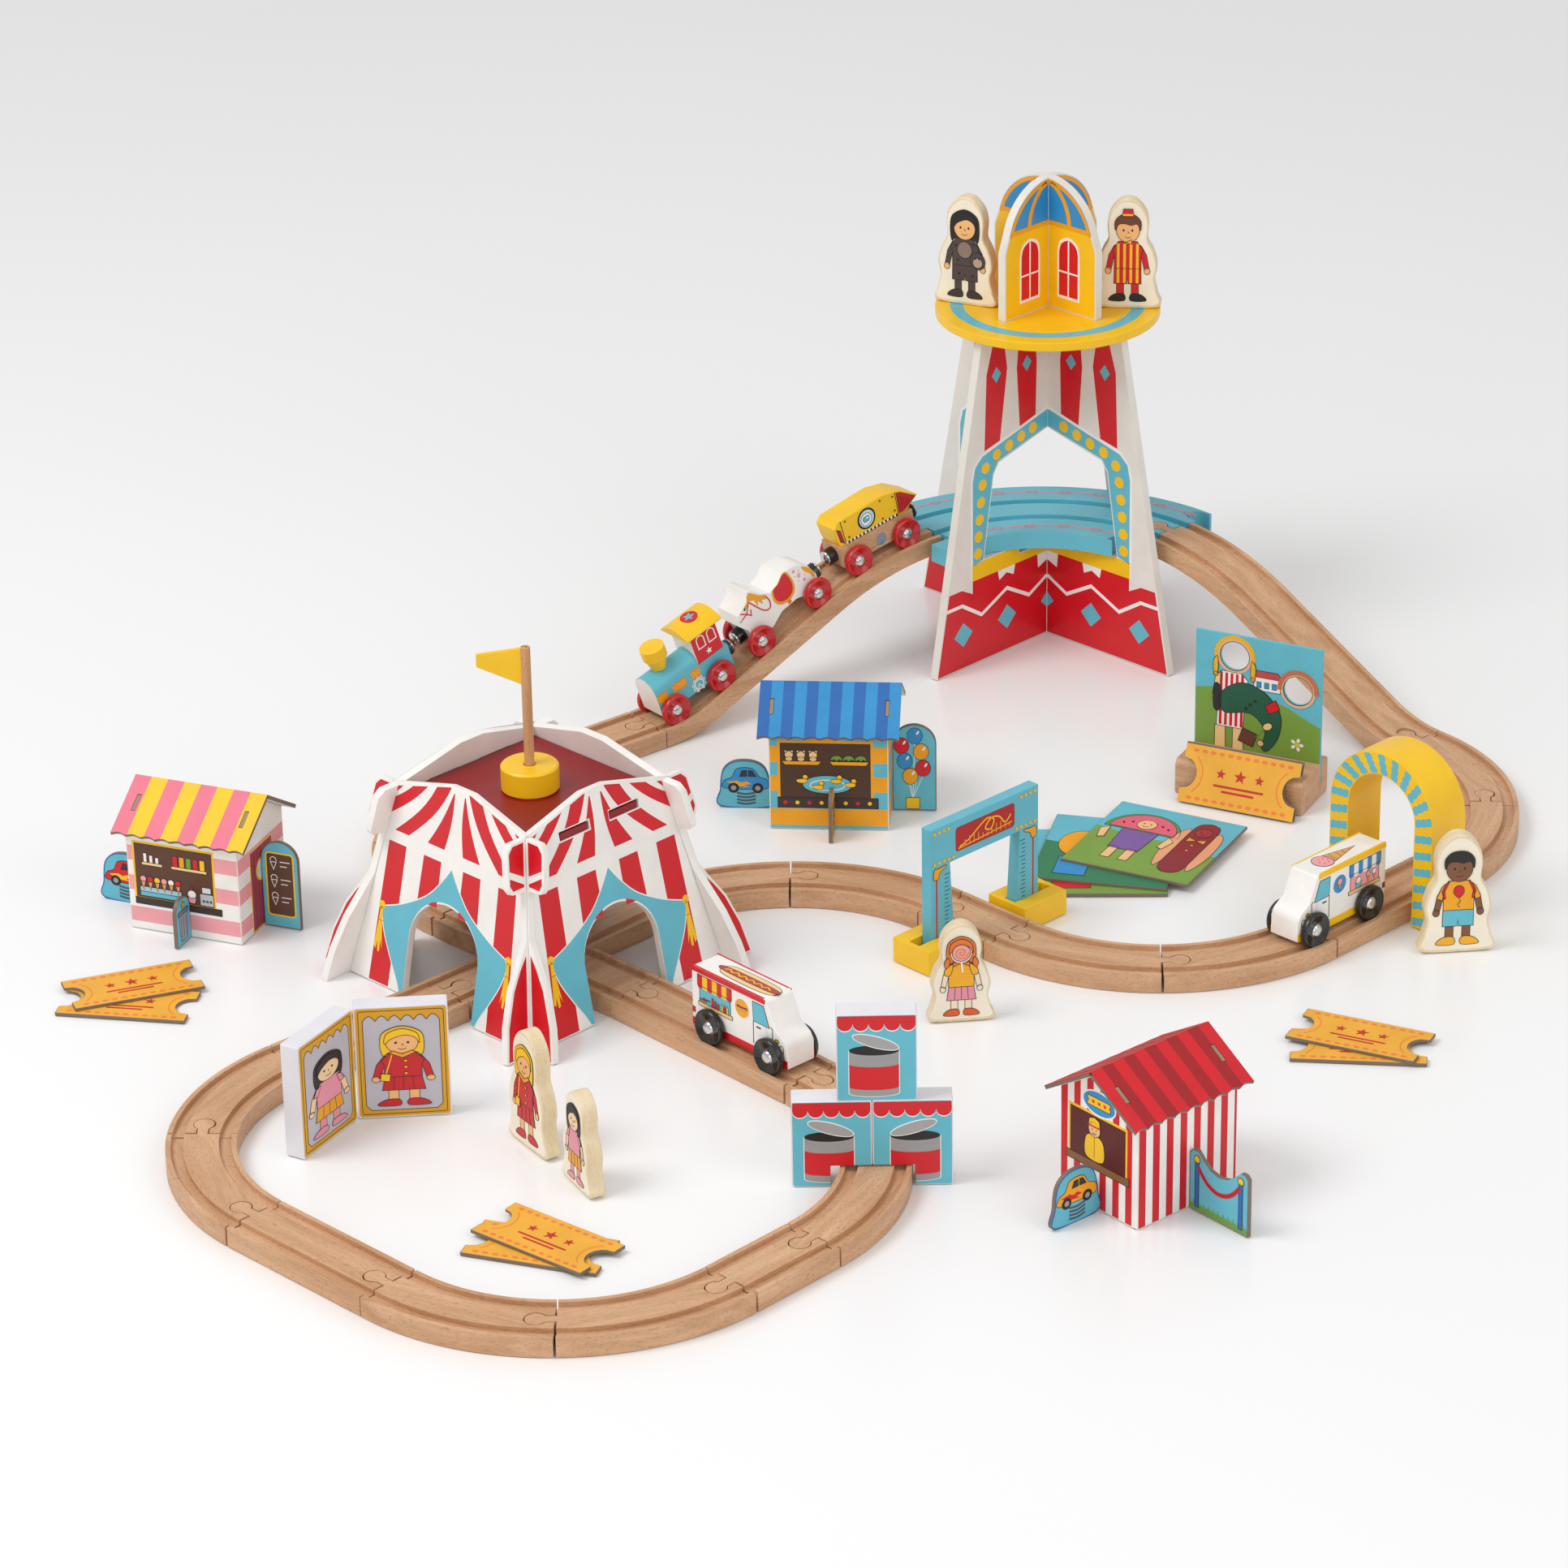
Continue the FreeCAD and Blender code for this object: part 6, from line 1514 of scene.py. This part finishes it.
def figure_outline(tall, wide):
    h, w = tall / 78.0, wide / 42.0
    right = [(20.4, 0.6), (20.8, 10), (18.6, 20), (20.4, 30), (17.6, 41), (13.6, 49), (14.2, 60), (12, 69),
             (6, 76)]
    ring = [(x * w, z * h) for x, z in right] + [(0, 77.9 * h)]
    ring += [(-x * w, z * h) for x, z in reversed(right)]
    return smooth(ring[:-1] + [ring[-1]], True, 4)


def people(node_name, casts):
    blocks = Art(node_name + "_blocks", Matrix.Identity(4), kind="spray")
    prints = Art(node_name + "_print", Matrix.Identity(4), kind="print")
    for (points, polys), (kind, yaw) in zip(islands(node_name), casts):
        base, size = corner_frame(points, yaw)
        base = base @ place(size.x / 2, size.y / 2, 0)
        ring = [(x, max(z, 0.0)) for x, z in figure_outline(size.z, size.x)]
        blocks.on(base @ place(0, -size.y / 2, 0) @ UPRIGHT)
        blocks.slab(ring, size.y, wood(yaw + 90, "pale", 90))
        prints.on(base @ place(0, -size.y / 2, 0) @ UPRIGHT)
        scale = size.z / 78.0
        rim = [(x * 0.93, 2.2 + z * 0.945) for x, z in ring]
        prints.fill(rim, "F6ECD6", 0)
        person(prints, kind, 0, 5.4 * scale, scale * min(1.0, size.x / (42 * scale)), scale, 2)
    prints.done()
    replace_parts(blocks.done(bevel=1.1), node_name)


people("platform_figures", [("ape", -25), ("striped", -7)])
people("floor_figures", [("coat", -57), ("pink", -62.5), ("sweet", 6), ("boy", 5)])

# ------------------------------------------------------- mirrors and cans
dress("mirror_blocks", paint("E4E2E8", "spray"), bevel=1.0)
art = Art("mirror_print", Matrix.Identity(4))
for (points, polys), (yaw, kind) in zip(islands("mirror_blocks"), ((59.6, "pink"), (4.1, "coat"))):
    base, size = corner_frame(points, yaw)
    art.on(base @ UPRIGHT)
    w, h = size.x, size.z
    art.fill(soft_rect(0.9, 0.9, w - 0.9, h - 0.9, 1.6), "DBA114", 1)
    field = [(5, 8), (8, 5), (w - 8, 5), (w - 5, 8), (w - 5, h - 9)]
    for k in range(6):
        x0 = w - 5 - (w - 10) * k / 6
        x1 = w - 5 - (w - 10) * (k + 1) / 6
        field += [((x0 * 3 + x1) / 4, h - 6.6), ((x0 + x1) / 2, h - 5.6), ((x0 + x1 * 3) / 4, h - 6.6),
                  (x1, h - 9)]
    art.fill(field, "BDBAC3", 3)
    art.line(field, 0.45, "5E430C", 4, closed=True)
    art.line(soft_rect(2.6, 2.6, w - 2.6, h - 2.6, 1.4), 0.4, "5E430C", 3, closed=True)
    if kind == "coat":
        person(art, kind, w / 2, 7.6, 1.16, 0.80, 5)
    else:
        person(art, kind, w / 2, 7.6, 1.30, 0.76, 5)
art.done()

dress("can_blocks", paint("E6E4E8", "spray"), bevel=0.9)
art = Art("can_print", Matrix.Identity(4))
for k, (points, polys) in enumerate(islands("can_blocks")):
    base, size = corner_frame(points, 0)
    art.on(base @ UPRIGHT)
    w, h = size.x, size.z
    notch = {0: (w - 23.2, -1, w + 5, 13.2), 1: None, 2: (-5, -1, 23.9, 13.2)}[k]

    def lay(points, color, layer):
        if k == 2:
            points = [(w - x, z) for x, z in reversed(points)]
        parts = cut_out(points, *notch) if notch else [points]
        for part in parts:
            art.fill(part, color, layer)

    lay(soft_rect(0.6, 0.6, w - 0.6, h - 0.6, 1.2), SKY, 1)
    scallop = []
    for j in range(5):
        x = 0.6 + (w - 1.2) * (j + 0.5) / 5
        scallop += arc(x, h - 5.6, (w - 1.2) / 10, 180, 360, 8)
    top = [(w - 0.8, h - 0.8), (0.8, h - 0.8)]
    lay([(x, z - 0.7) for x, z in scallop] + top, WHITE, 2)
    lay(scallop + top, RED, 3)
    left, right = 6.6, 35.0
    mid = (left + right) / 2
    half = (right - left) / 2
    lay([(left, 31.4)] + arc_flat(mid, 5.0, half, 2.6, 180, 360) + [(right, 31.4)], WHITE, 4)
    body = [(left + 0.5, 31.4)] + arc_flat(mid, 5.2, half - 0.5, 2.4, 180, 360) + [(right - 0.5, 31.4)]
    lay(body, GREY, 5)
    lay([(left + 0.5, 24)] + arc_flat(mid, 23.2, half - 0.5, 2.2, 180, 360)
        + arc_flat(mid, 9.0, half - 0.5, 2.2, 360, 180), RED, 6)
    lay(ellipse(mid, 31.4, half - 0.5, 3.0, 0, 36), "15120F", 7)
    lay(arc_flat(mid, 31.4, half - 0.5, 3.0, 180, 360)
        + arc_flat(mid, 29.4, half - 0.5, 3.2, 360, 180), GREY, 8)
    lay(ellipse(mid + 1.0, 36.6, half - 0.6, 3.7, -17, 36), WHITE, 9)
    lay(ellipse(mid + 1.0, 36.6, half - 1.2, 3.2, -17, 36), "A4A4A4", 10)
art.done()

# ------------------------------------------------------ arch and the gauge
dress("arch_tunnel", paint(YELLOW, "spray"), bevel=0.8)
base, size = corner_frame([v.co / MM for v in frame["nodes"]["arch_tunnel"].data.vertices], 44.38)
art = Art("arch_print", base)


def ripple(cx, cz, r0, r1, degrees, tilt):
    """A scalloped band across the arch's ring at an angle about (cx, cz)."""
    a = math.radians(degrees)
    out = []
    for way in (1, -1):
        side = []
        for k in range(13):
            t = k / 12
            r = r0 + (r1 - r0) * t
            half = 2.0 + 0.9 * abs(math.sin(3 * math.pi * t))
            lean = tilt * (t - 0.5)
            side.append((cx + r * math.cos(a) - (way * half + lean) * math.sin(a),
                         cz + r * math.sin(a) + (way * half + lean) * math.cos(a)))
        out += side if way > 0 else side[::-1]
    return out


for way, plane in ((-1, base @ place(0, 80, 0, yaw=-90)), (1, base @ place(size.x, 0, 0, yaw=90))):
    art.on(plane @ UPRIGHT)
    spring = size.z - 40
    for k in range(11):
        art.fill(ripple(40, spring, 26.4, 39.2, 8 + 16.4 * k, 3.0), SKY, 1)
    for k in range(6):
        art.fill(ripple(40, 5.5 + 11 * k, 26.4, 39.2, 0, 3.0), SKY, 1)
        art.fill(ripple(40, 5.5 + 11 * k, 26.4, 39.2, 180, 3.0), SKY, 1)
art.done()

base, size = corner_frame([v.co / MM for v in frame["nodes"]["gauge_gantry"].data.vertices], 43.43)
base = base @ place(size.x / 2, size.y / 2, -5)
art = Art("gauge_print", base)


def gauge_face(a):
    a.shape(soft_rect(-25, 67.2, 25, 82.6, 2.0), "B5121B", 1, edge=DARK_RED)
    a.line(smooth([(-22, 69.4), (-14, 72), (-5, 77.4), (2, 80.4), (7.4, 77.6), (4.6, 72.4), (0, 74.6),
                   (5, 79.4), (12, 78), (17, 72.6), (22, 76.4)], False), 0.9, YELLOW, 4)
    a.line([(-23, 68.6), (23, 71)], 0.6, YELLOW, 4)
    for k in range(12):
        a.line([(-21 + 3.8 * k, 68.6), (-21 + 3.8 * k, 70.6 + 4 * abs(math.sin(0.55 * k)))], 0.4, YELLOW, 4)
    for side in (-1, 1):
        for k in range(4):
            a.shape(circle(side * (43 - 4 * k), 84.6, 1.15, 14), YELLOW, 2, edge=OCHRE, width=0.25)
        for k in range(5):
            a.shape(circle(side * (43 - 4 * k), 64.6, 1.15, 14), YELLOW, 2, edge=OCHRE, width=0.25)
        a.fill(rect(side * 41.4 - 0.6, 8, side * 41.4 + 0.6, 56), RED, 2)
        a.shape(smooth([(side * 44, 55), (side * 40, 54.4), (side * 38.6, 58), (side * 33.6, 60.4),
                        (side * 34, 61.6), (side * 39, 61.2), (side * 43.4, 61)]), "F0A51A", 3)
        for k in range(17):
            reach = 4.6 if k % 4 == 0 else 3.2
            z = 12 + 2.7 * k
            a.fill(rect(min(side * 33.4, side * (33.4 - reach)) + side * 1.2, z - 0.22,
                        max(side * 33.4, side * (33.4 - reach)) + side * 1.2, z + 0.22), "20485A", 2)


both_faces(art, base, size.y, gauge_face)
art.done()

# --------------------------------------------------- picture and tickets
base, size = corner_frame([v.co / MM for v in frame["nodes"]["picture_board"].data.vertices], -26.8)
PIC_FACE = "E8B58C"
art = Art("picture_print", base, "picture")
art.on(base @ UPRIGHT)
hill = [(0.5, 0.5), (85.5, 0.5), (85.5, 38)] + smooth([(85.5, 38), (74, 43), (60, 49.4), (40, 54), (18, 54.6),
                                                       (0.5, 52)], False)[1:]
art.fill(hill, GRASS, 1)
art.shape(rect(40, 57, 58, 66), WHITE, 2)
art.shape([(38, 66), (60, 66), (56, 70.6), (42, 70.6)], "C5484A", 3)
for k in range(3):
    art.shape(rect(42 + 5.2 * k, 59, 45 + 5.2 * k, 63), BLUE, 4, width=0.25)
for x in (17.4, 29.6):
    art.shape([(x - 4.6, 2), (x + 5.4, 2), (x + 4, 6), (x + 3.6, 28), (x - 3.4, 28), (x - 3.6, 6)], TAN, 3)
art.shape([(15, 28), (33, 28), (34, 44), (36, 62), (31, 66.4), (18, 66.4), (14, 62), (15.6, 44)], WHITE, 4)
for k in range(5):
    art.fill([(16.6 + 3.6 * k, 29), (18.4 + 3.6 * k, 29), (18.8 + 3.6 * k, 65.4), (17.0 + 3.6 * k, 65.4)], RED, 6)
art.shape([(14, 62), (18, 66), (17, 52), (14.6, 46), (11.6, 47)], TAN, 6)
art.shape(smooth([(17, 50), (30, 60), (44, 58), (54, 50), (59, 40), (57, 26), (50, 16), (46, 18), (48, 30),
                  (38, 40), (20, 38)]), "1E5A41", 7)
art.shape(smooth([(13, 56), (17.5, 55), (17.5, 40), (13, 40)]), "26262A", 8)
art.shape([(48, 47), (55, 52), (58, 46), (51, 42)], RED, 9)
for x, z in ((38, 46), (41, 49), (35, 43)):
    art.shape(circle(x, z, 1.0, 12), "0F3A28", 9, width=0.25)
art.shape([(30, 20), (40, 17), (43, 26), (33, 29)], "6B3E30", 9)
art.shape(ellipse(50, 33, 3.4, 2.4, 30, 18), TAN, 9)
art.line([(47, 31.6), (42, 24)], 1.2, GRASS, 9)
art.shape(circle(45.4, 20.6, 2.2, 14), PIC_FACE, 9)
art.line(circle(26.7, 77.7, 11.0, 40), 2.2, PIC_FACE, 5, closed=True)
art.line(arc(26.7, 77.7, 12.6, -10, 190, 28), 2.6, "EDB21C", 6)
art.line(circle(26.7, 77.7, 9.95, 40), 0.35, BLACK, 7, closed=True)
for side in (-1, 1):
    art.shape(smooth([(26.7 + side * 11.6, 76), (26.7 + side * 14.4, 72), (26.7 + side * 13.6, 63),
                      (26.7 + side * 11.2, 66)]), "EDB21C", 8)
    art.shape(circle(26.7 + side * 12.6, 63.6, 1.6, 12), ORANGE, 9)
art.line(circle(70.0, 61.4, 10.9, 40), 2.0, PIC_FACE, 10, closed=True)
art.line(arc(70.0, 61.4, 12.4, -5, 185, 28), 3.0, "C5714E", 11)
art.line(circle(70.0, 61.4, 9.9, 40), 0.35, BLACK, 12, closed=True)
art.fills([ellipse(70 + 3 * math.cos(1.26 * k), 24 + 3 * math.sin(1.26 * k), 1.6, 1.1, 72 * k, 12)
           for k in range(5)], WHITE, 3)
art.fill(circle(70, 24, 1.2, 12), YELLOW, 5)
art.done()


def ticket_face(a):
    """Dots along the long edges, curves by the bites, and bars and stars in the middle."""
    half, rise = 39.5, 19.0
    ring = [(-half + 0.4, rise - 0.4), (-half + 0.4, 10.0)] + arc(-half, 0, 10.3, 76, -76, 10)[1:-1] + [
        (-half + 0.4, -10.0), (-half + 0.4, -rise + 0.4), (half - 0.4, -rise + 0.4), (half - 0.4, -10.0)] \
        + arc(half, 0, 10.3, 256, 104, 10)[1:-1] + [(half - 0.4, 10.0), (half - 0.4, rise - 0.4)]
    a.fill(ring[::-1], "EFAE35", 0)
    for k in range(12):
        x = -31.9 + 5.8 * k
        for z in (-15.2, 15.2):
            a.fill(ellipse(x, z, 1.9, 1.2, 0, 14), "EF8038", 2)
    for side in (-1, 1):
        a.line(arc(side * half, 0, 14.2, 90 + 38 if side > 0 else 52, 270 - 38 if side > 0 else -52, 16), 0.7,
               "EF8038", 2)
    for k, x in enumerate((-13, 0, 13)):
        a.fill(star(x, 2.8, 4.4 if k == 1 else 3.4), "C22A22", 3)
    for z, reach in ((-4.8, 17), (-8.0, 11)):
        a.fill(soft_rect(-reach, z - 0.7, reach, z + 0.7, 0.6, 3), "C22A22", 3)


dress("ticket_cards", paint(CARD_EDGE, "card"), bevel=0.2)
art = Art("ticket_print", Matrix.Identity(4), kind="card")
for points, polys in islands("ticket_cards"):
    low = Vector([min(p[k] for p in points) for k in range(3)])
    high = Vector([max(p[k] for p in points) for k in range(3)])
    if high.z - low.z > 8:
        base, size = corner_frame(points, -26.8)
        art.on(base @ place(size.x / 2, 0, 0) @ place(0, 0, 0, roll=65) @ place(0, 19.0, 2.0))
    else:
        art.on(place((low.x + high.x) / 2, (low.y + high.y) / 2, high.z, yaw=heading_of(points)))
    ticket_face(art)
art.done()

dress("picture_cards", paint(CARD_EDGE, "card"), bevel=0.2)
art = Art("card_print", Matrix.Identity(4), kind="card")
for number, ((points, polys), yaw) in enumerate(zip(islands("picture_cards"), (-2, -14, -28.2))):
    base, size = corner_frame(points, yaw)
    art.on(base @ place(size.x / 2, size.y / 2, size.z))
    w, h = size.x / 2 - 0.4, size.y / 2 - 0.4
    art.fill(rect(-w, -h, w, h), SKY, 1)
    art.fill([(-w, -h), (w, -h), (w, -4), (10, 4), (-14, 2), (-w, 8)],
             "2F7F57" if number == 1 else GRASS, 2)
    if number == 2:
        art.shape(arc(-14, 10, 25, 0, 180, 24), "4E9A44", 3)
        art.shape(arc(-14, 11.4, 22, 0, 180, 24), "E8607A", 5)
        for k in range(7):
            art.fill(ellipse(-29 + 5 * k, 18 + 6 * math.sin(0.5 * k), 0.8, 1.4, 20, 10), BLACK, 7)
        art.shape(circle(-14, 20, 6.4, 24), SKIN, 8)
        for s in (-1, 1):
            art.fill(circle(-14 + 2.2 * s, 21, 0.6, 10), BLACK, 10)
            art.shape([(-14 + 20 * s, 9), (-14 + 25 * s, 4), (-14 + 22 * s, -8), (-14 + 18 * s, -6)], SKIN, 8)
            art.shape(rect(-14 + 6 * s - 3, -32, -14 + 6 * s + 3, -16), SKIN, 5)
        art.line(arc(-14, 19.2, 2.4, 210, 330, 7), 0.4, BLACK, 10)
        art.shape([(-26, 10), (-2, 10), (-4, -18), (-24, -18)], "7D5AA0", 6)
        for s in (-1, 1):
            art.shape(smooth([(23 + 11 * s, -30), (23 + 16 * s, -10), (23 + 15 * s, 18), (23 + 9 * s, 26),
                              (23 + 6 * s, 0)]), "EDA57A", 4)
        art.shape(smooth([(16, -32), (30, -32), (31.6, 0), (31, 30), (26, 37), (20, 37), (15, 30), (14.4, 0)]),
                  "8E1C2A", 6)
        art.shape(circle(23, 24, 5.6, 24), "A92B38", 8)
        for s in (-1, 1):
            art.fill(circle(23 + 2 * s, 25, 0.6, 10), BLACK, 10)
            art.shape([(23, 12), (23 + 6 * s, 15), (23 + 6 * s, 9)], "E0A83A", 8)
            art.shape(circle(23, 1 + 4 * s, 1.2, 12), "E0A83A", 8)
        art.line(arc(23, 23.4, 2.2, 210, 330, 7), 0.4, BLACK, 10)
    elif number == 1:
        art.shape(ellipse(-20, 6, 14, 18, 0, 30), ORANGE, 4)
        art.shape(ellipse(18, 2, 13, 20, 0, 30), "E8607A", 4)
        art.shape(rect(-30, -38, -10, -14), BLUE, 5)
    else:
        art.shape(ellipse(-16, 4, 15, 15, 0, 30), "F2C23C", 4)
        art.shape(rect(-28, -38, -4, -12), RED, 5)
        art.shape(ellipse(20, 0, 12, 17, 0, 30), "8FC3D8", 4)
art.done()


# ------------------------------------------------- floor, light and camera
PHOTO_PIXELS = 1932
FOCAL_PIXELS = 6869.985
SENSOR_WIDTH = 36.0
CAMERA_PLACE = (0.145434, -2.983553, 1.521668)
CAMERA_PITCH, CAMERA_ROLL = 0.440, -0.018
WORLD_STRENGTH = 0.66
FLOOR_PLACE = (0.15, 0.3, -0.0005)


def make_floor():
    bm = bmesh.new()
    bmesh.ops.create_grid(bm, x_segments=4, y_segments=4, size=6.0)
    mesh = bpy.data.meshes.new("floor")
    bm.to_mesh(mesh)
    bm.free()
    mat, tree, shader = new_material("floor_white")
    coords = add(tree, "ShaderNodeTexCoord").outputs["Object"]
    drift = noise(tree, coords, 1.3, 2.0)
    tree.links.new(mix(tree, drift, linear("F3F3F3"), linear("F8F8F8")), shader.inputs["Base Color"])
    tree.links.new(remap(tree, drift, 0.3, 0.7, 0.20, 0.26), shader.inputs["Roughness"])
    mesh.materials.append(mat)
    floor = bpy.data.objects.new("floor", mesh)
    floor.location = FLOOR_PLACE
    bpy.context.scene.collection.objects.link(floor)


def make_light(name, where, toward, size, watts):
    data = bpy.data.lights.new(name, "AREA")
    data.shape = "DISK"
    data.size = size
    data.energy = watts
    lamp = bpy.data.objects.new(name, data)
    lamp.location = where
    lamp.rotation_euler = (Vector(toward) - Vector(where)).to_track_quat("-Z", "Y").to_euler()
    bpy.context.scene.collection.objects.link(lamp)


def make_camera():
    pitch, roll = CAMERA_PITCH, CAMERA_ROLL
    ahead = Vector((0, math.cos(pitch), -math.sin(pitch)))
    right = Vector((1, 0, 0))
    above = Vector((0, math.sin(pitch), math.cos(pitch)))
    x = math.cos(roll) * right + math.sin(roll) * above
    y = -math.sin(roll) * right + math.cos(roll) * above
    data = bpy.data.cameras.new("camera")
    data.sensor_width = SENSOR_WIDTH
    data.lens = FOCAL_PIXELS / PHOTO_PIXELS * SENSOR_WIDTH
    cam = bpy.data.objects.new("camera", data)
    turn = Matrix((x, y, -ahead)).transposed().to_4x4()
    cam.matrix_world = Matrix.Translation(CAMERA_PLACE) @ turn
    bpy.context.scene.collection.objects.link(cam)
    bpy.context.scene.camera = cam


make_floor()
make_light("key", (-1.6, -0.6, 2.6), (0.15, 0.1, 0.0), 1.6, 40.0)
make_light("fill", (2.4, -1.8, 2.0), (0.15, 0.1, 0.1), 2.2, 16.0)
make_light("front", (0.1, -3.2, 1.2), (0.15, 0.1, 0.1), 2.0, 14.0)
make_camera()
world = bpy.data.worlds.new("studio")
bpy.context.scene.world = world
world.use_nodes = True
world.node_tree.nodes["Background"].inputs["Color"].default_value = (1.0, 1.0, 1.0, 1.0)
world.node_tree.nodes["Background"].inputs["Strength"].default_value = WORLD_STRENGTH
bpy.context.scene.view_settings.view_transform = "Standard"
